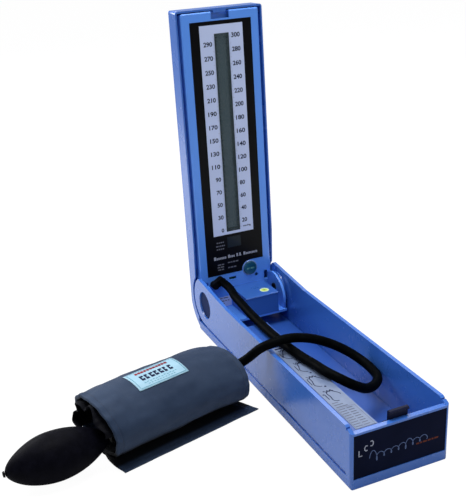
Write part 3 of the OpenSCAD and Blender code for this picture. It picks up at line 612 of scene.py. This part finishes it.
ROLL_AT = Vector((-226.3, -14.5, 0))  # on the floor, under the middle of the roll's left end
ROLL_TURN = math.radians(14)
ROLL_R, PITCH = 36.3, 5.7  # its outer radius, and what a full turn takes off it
WIDE, HIGH = 1.147, 0.894  # the lying roll is wider than it is high
ROLL_Z = ROLL_R * HIGH
CUFF_LEN = 151  # along the roll, which is the cuff's width on an arm
SLANT = math.tan(math.radians(8))  # lean of the roll's left mouth
FLAP = 36
MM_PER_DEGREE = 0.62  # length of sheet that one degree of the roll takes
SHEET_T = 4.5
RIM, SEAM = 1.3, 6  # from the hem: its rounded edge and its sewn channel
PAD_FROM_SEAM = 16
INNER_END = 402  # angle at which the sheet ends inside the roll
CLEAR_OF_FLOOR = 0.15
LABEL_X, LABEL_A = (43, 96), (159, 204)


def roll_place(x, y, z):
    """A point of the roll's frame, in millimetres, as a place in metres. The roll sinks a little
    towards its right end."""
    drop = 1 - 0.06 * smoothstep(105, CUFF_LEN, x) - 0.04 * smoothstep(128, CUFF_LEN, x)
    c, s = math.cos(ROLL_TURN), math.sin(ROLL_TURN)
    return Vector((ROLL_AT.x + x * c - y * s, ROLL_AT.y + x * s + y * c, z * drop)) * MM


def roll_yz(a, depth):
    """End view of the roll: angle counted from underneath towards the back, depth in from the
    outer face. Below zero it is the flap, which lies flat in front."""
    if a < 0:
        return a * MM_PER_DEGREE, depth * HIGH
    r = ROLL_R - PITCH * a / 360 - depth
    t = math.radians(a)
    return r * WIDE * math.sin(t), ROLL_Z - r * HIGH * math.cos(t)


def cuff_edges(a, z):
    """Where the sheet starts and ends along the roll."""
    left = (2 * ROLL_Z - z) * SLANT
    right = CUFF_LEN
    if a < 0:
        u = -a * MM_PER_DEGREE / FLAP
        left = 9.2 - 2.4 * math.sin(math.pi * min(1, u * 1.1)) - 0.6 * u
        right = CUFF_LEN - 4 + 13 * u
    else:
        right -= 4 * (1 - smoothstep(0, 40, a))
        left += 1.1 * noise.noise(Vector((a * 0.03, 0.4, 7.7)))
        right += 0.9 * noise.noise(Vector((a * 0.02, 4.4, 1.7)))
    return left, right


def label_mask(x, a):
    """1 away from the sewn-on label, 0 under it."""
    dx = max(LABEL_X[0] - x, x - LABEL_X[1], 0)
    da = max(LABEL_A[0] - a, a - LABEL_A[1], 0) * MM_PER_DEGREE
    return smoothstep(0, 14, math.hypot(dx, da))


def wrinkle(x, a, left):
    """How far the sheet stands out of its even roll, in millimetres."""
    s = a * MM_PER_DEGREE
    soft = 1.5 * noise.noise(Vector((x * 0.022, s * 0.03, 3.1)))
    fold = 1.15 * noise.noise(Vector((x * 0.045 + s * 0.03, s * 0.1, 9.3)))
    fine = 0.3 * noise.noise(Vector((x * 0.16, s * 0.2, 5.5)))
    drift = 2 * noise.noise(Vector((s * 0.05, 0, 0)))
    gather = 0.55 * math.sin(s * 0.42 + drift) * math.exp((left - x) / 16)
    amount = 0.35 if a < 0 or a > 345 or a < 20 else 1.0
    return (soft + fold + fine + gather) * amount * label_mask(x, a)


def hem_profile(d):
    """Half thickness of the sheet at a distance from its nearest edge: a round rim, a sewn
    channel and the padding inside it."""
    rim = math.sqrt(max(0, 1 - (1 - min(d / RIM, 1)) ** 2))
    channel = 0.5 * math.exp(-((d - SEAM) / 0.8) ** 2)
    pad = 0.3 * smoothstep(SEAM, PAD_FROM_SEAM, d)
    return max(0, (SHEET_T / 2 - 0.25) * rim - channel + pad)


def cuff_columns():
    """Shares of the sheet's width, close together at its hems."""
    near = [0, 0.25, 0.7, 1.3, 2.4, 3.8, 5.0, 5.6, 6.0, 6.4, 7.2, 9.0]
    edge, steps = near[-1], 48
    inner = [edge + (CUFF_LEN - 2 * edge) * k / steps for k in range(1, steps)]
    far = [CUFF_LEN - d for d in reversed(near)]
    return [d / CUFF_LEN for d in near + inner + far]


def cuff_angles(tip):
    """Angles of the sheet's rows, close together at its two ends and 4 degrees apart between."""
    angles = [tip + d for d in (0, 0.4, 1.1, 2.1, 4, 6.5, 8.6, 9.7, 10.7, 12.5)]
    angles += [tip + 16 + 4.0 * k for k in range(int((INNER_END - tip - 22) / 4) + 1)]
    return angles + [INNER_END - d for d in (2.5, 1.1, 0.4, 0)]


def make_cuff():
    """Two faces of cloth that meet at the hems. Depth runs from the outer face inwards."""
    columns = cuff_columns()
    tip = -FLAP / MM_PER_DEGREE
    angles = cuff_angles(tip)
    outer, inner, uvs = [], [], []
    for a in angles:
        z_mid = roll_yz(a, SHEET_T / 2)[1]
        left, right = cuff_edges(a, z_mid)
        end_d = min((a - tip) * MM_PER_DEGREE, (INNER_END - a) * MM_PER_DEGREE + 4)
        thin = 1 - 0.45 * (1 - smoothstep(0, 22, (a - tip) * MM_PER_DEGREE))
        pressed = a > 340 or 0 <= a < 62
        for share in columns:
            x = left + share * (right - left)
            edge_d = min(share, 1 - share) * CUFF_LEN
            h = min(hem_profile(edge_d), hem_profile(end_d)) * thin
            if pressed:
                h = min(h, SHEET_T / 2 - 0.2)
            w = wrinkle(x, a, left)
            if a < 0:
                w = min(0, w * 1.5)
            middle = SHEET_T / 2 * (thin if a < 0 else 1) + 0.15
            for face, rows in ((-1, outer), (1, inner)):
                y, z = roll_yz(a, middle + face * h - w)
                rows.append(roll_place(x, y, max(z, CLEAR_OF_FLOOR)))
            uvs.append((x * UV_PER_MM, a * MM_PER_DEGREE * UV_PER_MM))
    faces, face_uvs = [], []
    for front in grid_faces(len(angles), len(columns)):
        back = tuple(reversed(front))
        faces += [front, tuple(len(outer) + k for k in back)]
        face_uvs += [uvs[k] for k in front + back]
    ob = new_object("cuff_cloth", outer + inner, faces)
    layer = ob.data.uv_layers.new(name="weave")
    for item, uv in zip(layer.data, face_uvs):
        item.uv = uv
    tidy_mesh(ob)
    return ob


PUFF_FRAMES, PUFF_PRESSURE, PUFF_CAP = 14, 1.6, 1.0  # the cap is in millimetres


def puff(ob):
    """Lets the padding swell the cloth between its sewn lines, by a short cloth simulation whose
    result is kept in the mesh."""
    mesh = ob.data
    start = [v.co.copy() for v in mesh.vertices]
    mod = ob.modifiers.new("cloth", "CLOTH")
    st = mod.settings
    st.quality = 4
    st.mass = 0.25
    st.tension_stiffness = st.compression_stiffness = 12
    st.shear_stiffness = 6
    st.bending_stiffness = 0.4
    st.use_pressure = True
    st.uniform_pressure_force = PUFF_PRESSURE
    st.effector_weights.gravity = 0
    mod.collision_settings.use_collision = False
    pins = ob.vertex_groups.new(name="sewn")
    for v in mesh.vertices:
        pins.add([v.index], sewn_share(v.co), "REPLACE")
    st.vertex_group_mass = "sewn"
    mod.point_cache.frame_start = 1
    mod.point_cache.frame_end = PUFF_FRAMES
    for f in range(1, PUFF_FRAMES + 1):
        scene.frame_set(f)
    got = ob.evaluated_get(bpy.context.evaluated_depsgraph_get())
    moved = [v.co.copy() for v in got.data.vertices]
    ob.modifiers.remove(mod)
    scene.frame_set(1)
    far = 0
    for v, a, b in zip(mesh.vertices, start, moved):
        d = b - a
        limit = PUFF_CAP * MM
        if d.length > limit:
            d *= limit / d.length
        far = max(far, d.length)
        v.co = a + d
        v.co.z = max(v.co.z, 0.8 * CLEAR_OF_FLOOR * MM)
    print("cuff simulation moved points by up to %.2f mm" % (far / MM))
    ob.vertex_groups.clear()


def sewn_share(p):
    """1 on the hems, under the label and where layers lie on each other, 0 in free cloth."""
    q = (Vector(p) / MM) - ROLL_AT
    c, s = math.cos(-ROLL_TURN), math.sin(-ROLL_TURN)
    x, y = q.x * c - q.y * s, q.x * s + q.y * c
    left = max(0, (2 * ROLL_Z - q.z) * SLANT)
    edge = min(x - left, CUFF_LEN - x)
    hem = 1 - smoothstep(5.5, 11, edge)
    low = 1 - smoothstep(8, 16, q.z)
    under = 0
    if LABEL_X[0] - 3 < x < LABEL_X[1] + 3 and q.z > 2 * ROLL_Z - 12:
        under = 1
    return min(1, max(hem, low, under, 0.02))


def add_smooth(ob):
    sub = ob.modifiers.new("smooth", "SUBSURF")
    sub.levels = sub.render_levels = 1


cuff = make_cuff()
puff(cuff)
add_smooth(cuff)
set_material(cuff, m_cloth)
stands_for(cuff, "cuff_wrap", "base")

PATCH_RIM = {0: 0.25, 1: 0.85}  # share of the thickness at the rim and one step in from it


def roll_patch(name, x_range, a_range, depth, thick, mat, steps=(40, 24), crumple=None):
    """A closed sheet that follows the roll between two angles. depth is its outer face's, and
    crumple gives how far in and how far along each of its points moves."""
    (x0, x1), (a0, a1), (nx, na) = x_range, a_range, steps
    rows = []
    for i in range(na + 1):
        a = a0 + (a1 - a0) * i / na
        for j in range(nx + 1):
            x = x0 + (x1 - x0) * j / nx
            inward, along = crumple(x, a) if crumple else (0, 0)
            half = thick / 2 * PATCH_RIM.get(min(i, na - i, j, nx - j), 1)
            rows.append((x + along, a, depth + thick / 2 + inward, half))
    verts = []
    for face in (-1, 1):
        for x, a, mid, half in rows:
            verts.append(roll_place(x, *roll_yz(a, mid + face * half)))
    cols, count = nx + 1, len(rows)
    faces = []
    for q in grid_faces(na + 1, cols):
        faces += [q, tuple(count + k for k in reversed(q))]
    ring = list(range(cols)) + [i * cols + nx for i in range(1, na + 1)]
    ring += [na * cols + j for j in range(nx - 1, -1, -1)] + [i * cols for i in range(na - 1, 0, -1)]
    for p, q in zip(ring, ring[1:] + ring[:1]):
        faces.append((q, p, count + p, count + q))
    ob = new_object(name, verts, faces)
    tidy_mesh(ob)
    set_material(ob, mat)
    return ob


# the bladder between the layers
bladder = roll_patch("cuff_bladder_pad", (27, 143), (62, 214), 1.5, 1.6, m_hose)
stands_for(bladder, "cuff_bladder", "base")


def bunch(x, a):
    """Folds that deepen towards the roll's mouth, as how far in and how far along."""
    near = math.exp(-max(0, x + 4) / 26)
    n1 = noise.noise(Vector((a * 0.028, x * 0.03, 2.2)))
    n2 = noise.noise(Vector((a * 0.07, x * 0.07, 6.1)))
    inward = near * (4.2 + 3.6 * math.sin(math.radians(a) * 7 + 2.2 * n1) + 2.6 * n2)
    out = -2.2 * near * (0.6 + 0.8 * math.sin(math.radians(a) * 5 + 1.3))
    return max(0, inward), out


# the inner cloth, bunched in the roll's left mouth, nearly black as painted shade
inner_painted_shade = roll_patch("cuff_inner_painted_shade_folds", (-1.5, 62), (62, 262), SHEET_T + 0.9, 2.2, m_inner_painted_shade,
                    (44, 96), bunch)
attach(inner_painted_shade, "base")
add_smooth(inner_painted_shade)

STITCH_ANGLE, STITCH_STEP = 3.4, 5.2  # in degrees of the roll
STITCH_FROM, STITCH_TO = 64.0, 330
STITCH_R, STITCH_LIFT = 0.22 * MM, 0.2 * MM


def make_stitches():
    """Short pointed stitches in the sewn channel of both hems."""
    verts, faces = [], []

    def stitch(p, q, up):
        d = (q - p).normalized()
        side = d.cross(up).normalized() * STITCH_R
        lift = up * STITCH_LIFT
        base = len(verts)
        for c, w in ((p, 0.4), (p.lerp(q, 0.2), 1), (p.lerp(q, 0.8), 1), (q, 0.4)):
            verts.extend([c + side * w, c + lift * w, c - side * w, c - lift])
        for k in range(3):
            for m in range(4):
                a, b = base + k * 4 + m, base + k * 4 + (m + 1) % 4
                faces.append((a, b, b + 4, a + 4))
        faces.append((base + 3, base + 2, base + 1, base))
        faces.append((base + 12, base + 13, base + 14, base + 15))

    def surface(x, a, left):
        w = wrinkle(x, a, left)
        d = SHEET_T / 2 + 0.15 - hem_profile(SEAM) - w
        p = roll_place(x, *roll_yz(a, d))
        return p, (roll_place(x, *roll_yz(a, d - 1)) - p).normalized()

    a = STITCH_FROM
    while a < STITCH_TO:
        left, right = cuff_edges(a, roll_yz(a, 2)[1])
        inset = SEAM * (right - left) / CUFF_LEN
        for x in (left + inset, right - inset):
            p, up = surface(x, a, left)
            q, _ = surface(x, a + STITCH_ANGLE, left)
            stitch(p + up * PROUD * MM, q + up * PROUD * MM, up)
        a += STITCH_STEP
    ob = new_object("cuff_stitches", verts, faces, False)
    tidy_mesh(ob, 0.000001)
    set_material(ob, m_thread)
    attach(ob, "base")


make_stitches()

# the label sewn on the roll, and its marks
LABEL_DEPTH, LABEL_T = -0.85, 0.6
MARK_DEPTH = -1.0
LABEL_MM_PER_DEGREE = MM_PER_DEGREE * 1.02

label = roll_patch("cuff_label_patch", LABEL_X, LABEL_A, LABEL_DEPTH, LABEL_T, label_satin(), (30, 20))
stands_for(label, "cuff_label", "base")


def label_place(u, v):
    """u along the label in millimetres from its left, v up it from its lower edge."""
    return roll_place(LABEL_X[0] + u, *roll_yz(LABEL_A[1] - v / LABEL_MM_PER_DEGREE, MARK_DEPTH))


def label_marks():
    """A border, two lines of small print, a line of seven generic block marks and a red line. Long
    lines are rows of short bars, so that they follow the roll."""
    teal = Print("label_lines", label_place)
    for v in (1.6, 26.0):
        teal.row(2, v, 24, 2.05, 2.05, 0.45)
    for u in (2, 50.8):
        for k in range(12):
            teal.bar(u, 1.6 + k * 2.03, 0.45, 2.03)
    for k in range(12):
        teal.bar(9 + k * 3, 6.2 + 0.5 * (k % 2), 1.9, 0.6)
    teal.row(12, 4.0, 10, 3, 1.7, 0.5)
    teal.done(m_ink_teal, "base")
    navy = Print("label_blocks", label_place)
    for k, w in enumerate((3.9, 3.2, 4.1, 3.6, 3.9, 2.8, 3.8)):
        u = 9.2 + k * 5
        navy.bar(u, 9.8, w, 2.6)
        navy.bar(u, 12.4, 1.7, 2.0)
        navy.bar(u, 14.4, w, 2.4)
    navy.done(m_ink, "base")
    red = Print("label_red_line", label_place)
    for start in (9, 9 + 1.35):
        red.row(start, 20.6, 11, 3.2, 1.35, 3.4)
    red.done(m_ink_red, "base")


label_marks()


# ---------------- the bulb and the short tubes

BULB_TIP = Vector((-306.9, -27.3, 20.7))
BULB_AIM = Vector((94.3, 7, 3.2)).normalized()
BULB_LEN, BULB_D = 94.6, 44.3
INTAKE_R = 2.2
VALVE_R, VALVE_LEN = 5.5, 20


def make_bulb():
    """An egg-shaped skin, with a faint mould seam on both sides and a lip round its valve."""
    turn = BULB_AIM.to_track_quat("Z", "X")
    verts = []
    rings, sides = 64, 72
    for i in range(rings + 1):
        share = 0.006 + 0.956 * i / rings
        r = BULB_D / 2 * math.sin(math.pi * share ** 0.92) ** 0.62
        lip = VALVE_R + 1.9 * math.exp(-((BULB_LEN * (1 - share) - 2.6) / 2.4) ** 2)
        if share > 0.8:
            r = max(r, lip)
        if i == 0:
            r = INTAKE_R
        for j in range(sides):
            a = 2 * math.pi * j / sides
            seam = 0.16 * math.exp(-(math.sin(a) / 0.035) ** 2)
            dent = 0.35 * noise.noise(Vector((math.cos(a) * 1.3, math.sin(a) * 1.3, share * 4)))
            rr = r + (seam + dent) * smoothstep(0, 0.12, share) * (1 - smoothstep(0.86, 0.95, share))
            p = Vector((rr * math.cos(a), rr * math.sin(a), BULB_LEN * share))
            verts.append((BULB_TIP + turn @ p) * MM)
    faces = grid_faces(rings + 1, sides, True) + end_caps(rings + 1, sides)
    ob = new_object("bulb_skin", verts, faces)
    tidy_mesh(ob)
    set_material(ob, m_bulb)
    stands_for(ob, "bulb", "base")


make_bulb()


def make_bulb_hose():
    """From the bulb's valve, unseen, into the roll."""
    step = 7
    valve_end = BULB_TIP + BULB_AIM * (BULB_LEN + VALVE_LEN)
    port_end, port_aim = Vector((-130, 5, 38)), Vector((4, 1, 0)).normalized()
    route = [valve_end + BULB_AIM * step * k for k in range(3)] + [Vector((-160, -9, 31))]
    route += [port_end - port_aim * step * k for k in (2, 1, 0)]
    path = smooth_path([p * MM for p in route], 5)
    ob = tube("bulb_hose", path, (HOSE_D / 2 - 0.4) * MM, 20)
    set_material(ob, m_hose)
    stands_for(ob, "bulb_tube", "base")


def make_sensor_hose():
    """From the elbow's rear, behind the lid's panel, down to the sensor in its box."""
    rear, port_x, port_z = 24.5, 7, -12
    route = [(-29, rear, 12), (-29, rear + 1.6, 12), (-29, rear + 3.2, 12), (-27, 31, 6),
             (-20, 32, -2), (-10, 30, -8), (-1, 27.5, -11), (port_x - 1, 23, port_z),
             (port_x, 18, port_z), (port_x, 12, port_z), (port_x, 5, port_z)]
    ob = tube("sensor_hose", smooth_path([lid_point(*p) for p in route], 5), 2.4 * MM, 16)
    set_material(ob, m_hose)
    stands_for(ob, "sensor_tube", "lid")


make_bulb_hose()
make_sensor_hose()


# ---------------- print on the lid

PANEL_Y = 16.8
FASCIA_Y = PANEL_Y - 0.2
SCALE_Y = FASCIA_Y - 0.25
DISPLAY_Y = PANEL_Y + 1.2 + 0.1
BUTTON_Y = PANEL_Y - 1.6
TAG_Y = PANEL_Y - 0.25
COLUMN_W, COLUMN_Z, COLUMN_LEN = 16.8, 71, 218
ZERO_Z, MM_PER_UNIT = 67.2, 0.7293
NUMBER_H, NUMBER_X = 5.0, 11.1
NUMBER_W = {2: 6.3, 3: 9.8}  # by how many digits the number has
TICK_T, TICK_X = 0.22, COLUMN_W / 2 + 0.25


def on_lid(y):
    """Places just in front of a face of the upright lid, y deep in the lid's frame."""
    def place(u, v):
        return lid_point(u, y - PROUD, v)
    return place


def scale_print():
    digits = Print("scale_numbers", on_lid(SCALE_Y))
    for side, first, last in ((1, 20, 300), (-1, 30, 290)):
        for value in range(first, last + 1, 20):
            number = str(value)
            v = ZERO_Z + MM_PER_UNIT * value - NUMBER_H / 2
            digits.text(number, side * NUMBER_X, v, NUMBER_H, NUMBER_W[len(number)], (1 - side) / 2)
    digits.text("0", -11.4, 71.4, 4.6, 3.1, align=1.0)
    digits.text("mmHg", 12.0, 73.0, 2.7, 9.4)
    digits.done(m_ink, "lid")
    ticks = Print("scale_ticks", on_lid(SCALE_Y))
    for value in range(10, 301, 2):
        long = 1.9 if value % 10 == 0 else 1.0
        for side in (-1, 1):
            u = side * TICK_X
            v = ZERO_Z + MM_PER_UNIT * value - TICK_T / 2
            ticks.bar(min(u, u + side * long), v, long, TICK_T)
    ticks.done(m_ink_soft, "lid")


scale_print()


def column_marks():
    """The display's own segments, two units of the scale each, along both edges of the column, and
    the block at its foot."""
    cells = Print("column_segments", on_lid(DISPLAY_Y))
    left, right = -COLUMN_W / 2 + 0.5, COLUMN_W / 2 - 0.5
    step = MM_PER_UNIT * 2
    for k in range(int((COLUMN_LEN - 4) / step)):
        z = COLUMN_Z + 2 + k * step
        wide = 3.4 if k % 5 == 0 else 2.5
        cells.bar(left, z, wide, step * 0.62)
        cells.bar(right - wide, z, wide, step * 0.62)
    cells.bar(left, COLUMN_Z + 0.3, COLUMN_W - 1, 3.6)
    cells.done(m_segment, "lid")


column_marks()


def fascia_print():
    """A line of uneven bars over the button, and small rows of bars above and beside it."""
    pale = Print("fascia_line", on_lid(FASCIA_Y))
    u = -26.0
    for widths, wide, low, tall in (
            ((2.6, 1.6, 1.6, 1.2, 1.6, 1.8, 1.6), 2, 2.6, 4.0), ((2.2, 1.4, 1.5, 1.5), 2, 2.5, 3.8),
            ((2.0, 0.6, 1.8, 0.6), 1, 0.7, 3.8),
            ((2.4, 1.5, 1.5, 1.4, 1.0, 1.6, 1.6, 1.0, 1.3), 2, 2.5, 3.8)):
        u = pale.uneven_bars(u, 39.6, widths, 0.5, wide, low, tall) + 1.8
    pale.done(m_print_pale, "lid")
    grey = Print("fascia_small", on_lid(FASCIA_Y))
    for v, u, widths in (
            (59.0, -21.5, (2.0, 1.4, 1.8, 1.6)), (55.0, -22.5, (2.2, 1.2, 1.6, 1.8, 1.2)),
            (51.2, -22.0, (1.6, 2.2, 1.4, 1.8)), (32.6, -22.0, (4.2, 3.0)), (29.6, -22.4, (3.2, 4.0)),
            (26.6, -22.0, (4.0, 2.6)), (33.4, -9.5, (3.4, 1.6, 2.8, 3.2)), (27.2, -9.5, (2.2, 3.6, 3.0))):
        grey.bars(u, v, widths, 1.5, 0.7)
    grey.done(m_print_grey, "lid")


def button_print():
    mark = Print("button_mark", on_lid(BUTTON_Y))
    for k, w in enumerate((1.5, 1.1, 0.5, 1.5, 1.2, 1.1)):
        mark.bar(13.2 + k * 1.6, 21.2, w, 1.9)
    mark.done(m_mark, "power_button")


def tag_print():
    tag = Print("tag_marks", on_lid(TAG_Y))
    for v, widths in ((-8.6, (5, 3, 6)), (-12.2, (3, 7, 2, 2)), (-15.4, (6, 4))):
        tag.bars(-28, v, widths, 1.2, 1.1)
    tag.done(m_ink_soft, "lid")


fascia_print()
button_print()
tag_print()


# ---------------- print on the base

SHEET_Z = 54.3
PLATE_Y = -156.4


def on_sheet(u, v):
    """A place just over the instruction sheet, u to the right and v towards the lid."""
    return Vector((u, v, SHEET_Z + PROUD)) * MM


def on_plate(u, v):
    """A place just in front of the front plate, u to the right and v up."""
    return Vector((u, PLATE_Y - PROUD, v)) * MM


def sheet_print():
    """A framed table, four loose line figures and some dots, none of them readable."""
    lines = Print("sheet_lines", on_sheet)
    for row in range(9):
        y = -148.5 + row * 3.5
        for u, width in ((-38.5, 6.5), (-30.5, 5.7)):
            lines.bar(u, y, width, 1.1)
    for row in range(3):
        lines.bar(-38, -116.5 + row * 3.6, 11 - 2.5 * row, 1.2)
    lines.frame(-39.4, -150.6, 18, 33, 0.35)
    lines.done(m_ink_soft, "base")
    art = Print("sheet_figures", on_sheet)
    figures = ((-29.5, -98, 5.2), (-31, -70, 5.6), (-29.5, -42, 5.2), (-31, -14, 5.4))
    for k, (u, v, r) in enumerate(figures):
        turn = 0.6 * k
        loop = []
        for i in range(22):
            t = 2 * math.pi * i / 28
            wide = r * (1 + 0.25 * math.cos(3 * t + turn))
            loop.append((u + wide * math.cos(t), v + 1.7 * r * math.sin(t)))
        art.stroke(loop, 0.9)
        wave = [(u - 6 + 0.4 * i, v + 9 + 1.4 * math.sin(0.8 * i + turn)) for i in range(24)]
        art.stroke(wave, 0.8)
        art.bar(u - 7.5, v - 4, 0.8, 9)
    art.done(m_ink, "base")
    dots = Print("sheet_dots", on_sheet)
    for u, v, r in ((-28.8, -54, 1.0), (-28.9, -81, 1.1), (-37.6, -93, 0.9), (-37.4, -64, 0.8),
                    (-28.5, -26, 0.9)):
        dots.disc(u, v, r)
    dots.bar(-38.5, -1.5, 8, 2.6)
    dots.bar(-36, 2.8, 9, 1.4)
    dots.done(m_ink, "base")


def plate_print():
    """Three open strokes, a looped line and a row of small bars, all generic."""
    pale = Print("plate_bars", on_plate)
    corner = [(0, 4.8), (0, 0), (2.7, 0)]
    bow = [(2.6, 4.2), (1.1, 4.6), (0.2, 3.3), (0.2, 1.5), (1.1, 0.3), (2.6, 0.6)]
    size = 1.15
    for k, marks in enumerate((corner, bow, [(3 - u, v) for u, v in bow])):
        at_u, at_v = -40.5 + k * 5.2, 31 + k * 3.3
        pale.stroke([(at_u + u * size, at_v + v * size) for u, v in marks], 1.0)
    pale.done(m_print_pale, "base")
    line = Print("plate_line", on_plate)
    wave = []
    for k in range(150):
        t = 0.22 * k
        tall = 2.6 + 4.6 * math.exp(-(t / 3.2) ** 2) + 2.4 * math.exp(-((t - 21) / 2.5) ** 2)
        wave.append((-28.5 + 1.7 * t - 1.9 * math.cos(t * 1.5),
                     26 + 0.12 * t + tall * math.sin(t * 1.5)))
    line.stroke(wave, 0.6)
    line.done(m_print_silver, "base")
    amber = Print("plate_small", on_plate)
    amber.bars(16, 24.5, (3, 2, 4, 3, 2, 4), 1.6, 0.9)
    amber.done(m_print_amber, "base")


sheet_print()
plate_print()


# ---------------- carried-over CAD pieces

EDGE_ROUND = 0.35
EDGE_ANGLE = math.radians(35)


def soften(node):
    """Breaks a CAD piece's sharp edges with a small round, as a mould does."""
    ob = nodes[node]
    weld = ob.modifiers.new("weld", "WELD")
    weld.merge_threshold = MERGE
    bev = ob.modifiers.new("round", "BEVEL")
    bev.width = EDGE_ROUND * MM
    bev.segments = 2
    bev.limit_method = "ANGLE"
    bev.angle_limit = EDGE_ANGLE
    bev.use_clamp_overlap = True
    bev.harden_normals = True


LOOKS = {
    "base_case": m_case, "bottom_cover": m_cover, "tray_liner": m_liner_painted_shade, "cover_screws": m_steel,
    "front_plate": m_plate, "instruction_sheet": paper(), "hinge_pins": m_matt,
    "pivot_caps": m_cap, "latch_guide": m_latch, "latch_tongue": m_latch, "lid_shell": m_case,
    "lid_panel": m_panel_painted_light, "lid_screws": m_steel, "fascia": m_black, "scale_plate": m_scale,
    "column_glass": window_glass(), "column_display": display_grey(),
    "status_window": tinted_window(), "button_ring": m_ring, "power_button": button_teal(),
    "circuit_board": m_board, "pressure_sensor": m_matt, "sensor_box": m_box,
    "sensor_box_cover": m_box, "check_seal": seal_paper(), "panel_label": m_scale,
    "battery_holder": m_matt, "battery_contacts": m_steel, "batteries": cell_sleeve(),
    "battery_door": m_case, "hose_elbow": m_matt, "intake_valve": m_valve,
    "release_valve": m_valve, "valve_screw": m_nickel,
}
ROUNDED = ("base_case", "lid_shell", "lid_panel", "tray_liner", "sensor_box_cover", "sensor_box",
           "front_plate", "latch_guide", "latch_tongue", "battery_door")


for name, mat in LOOKS.items():
    set_material(nodes[name], mat)
for name in ROUNDED:
    soften(name)


# ---------------- stage and light

FLOOR_HALF, FLOOR_Z = 40, -0.0004
FLOOR_GREY = (0.6, 0.6, 0.6, 1)
FLOOR_GLOW, FLOOR_GLOW_SHARE = 1.12, 0.86
WORLD_TINT, WORLD_STRENGTH = (0.94, 0.96, 1.0, 1), 0.32
LAMPS = {  # place, aim, size and power
    "key": ((-0.1, 0.05, 1.7), (0, 0, 0.05), (0.9, 0.9), 26),
    "fill": ((0.4, -1.4, 1.3), (0, 0.15, 0.25), (1.0, 1.0), 4.2),
    "rim": ((0.35, 1.2, 1.3), (0, 0, 0.15), (1.2, 0.6), 8),
    "side": ((-0.6, 0.75, 0.5), (-0.06, 0.16, 0.1), (0.5, 0.4), 5.5),
}


def operation(tree, kind, a, b):
    """A maths node. a is a socket, and b is a socket or a number."""
    n = tree.nodes.new("ShaderNodeMath")
    n.operation = kind
    tree.links.new(a, n.inputs[0])
    if isinstance(b, bpy.types.NodeSocket):
        tree.links.new(b, n.inputs[1])
    else:
        n.inputs[1].default_value = b
    return n.outputs[0]


def mix_shaders(tree, share, a, b, target):
    n = tree.nodes.new("ShaderNodeMixShader")
    for i, socket in enumerate((share, a.outputs[0], b.outputs[0])):
        tree.links.new(socket, n.inputs[i])
    tree.links.new(n.outputs[0], target.inputs["Surface"])


def floor_material():
    """A grey floor that keeps the object's shadow, mostly white to the camera."""
    mat = bpy.data.materials.new("floor")
    mat.use_nodes = True
    nt = mat.node_tree
    nt.nodes.clear()
    out = nt.nodes.new("ShaderNodeOutputMaterial")
    diffuse = nt.nodes.new("ShaderNodeBsdfDiffuse")
    diffuse.inputs["Color"].default_value = FLOOR_GREY
    glow = nt.nodes.new("ShaderNodeEmission")
    glow.inputs["Strength"].default_value = FLOOR_GLOW
    path = nt.nodes.new("ShaderNodeLightPath")
    share = operation(nt, "MULTIPLY", path.outputs["Is Camera Ray"], FLOOR_GLOW_SHARE)
    mix_shaders(nt, share, diffuse, glow, out)
    return mat


def make_floor():
    h = FLOOR_HALF
    floor = new_object("floor", [(-h, -h, 0), (h, -h, 0), (h, h, 0), (-h, h, 0)], [(0, 1, 2, 3)], False)
    floor.location.z = FLOOR_Z
    set_material(floor, floor_material())


def make_world():
    """Soft light from all round, seen as plain white by the camera and through glass."""
    world = bpy.data.worlds.new("world")
    scene.world = world
    world.use_nodes = True
    nt = world.node_tree
    soft = nt.nodes["Background"]
    soft.inputs["Color"].default_value = WORLD_TINT
    soft.inputs["Strength"].default_value = WORLD_STRENGTH
    white = nt.nodes.new("ShaderNodeBackground")
    white.inputs["Color"].default_value = (1, 1, 1, 1)
    white.inputs["Strength"].default_value = 1.0
    path = nt.nodes.new("ShaderNodeLightPath")
    seen = operation(nt, "MAXIMUM", path.outputs["Is Camera Ray"], path.outputs["Is Transmission Ray"])
    mix_shaders(nt, seen, soft, white, nt.nodes["World Output"])


def make_lamp(name, where, aim, size, power):
    data = bpy.data.lights.new(name, "AREA")
    data.shape = "RECTANGLE"
    data.size, data.size_y = size
    data.energy = power
    ob = bpy.data.objects.new(name, data)
    scene.collection.objects.link(ob)
    ob.location = where
    ob.rotation_euler = (Vector(aim) - Vector(where)).to_track_quat("-Z", "Y").to_euler()


make_floor()
make_world()
for name, lamp in LAMPS.items():
    make_lamp(name, *lamp)
scene.view_settings.view_transform = "Standard"
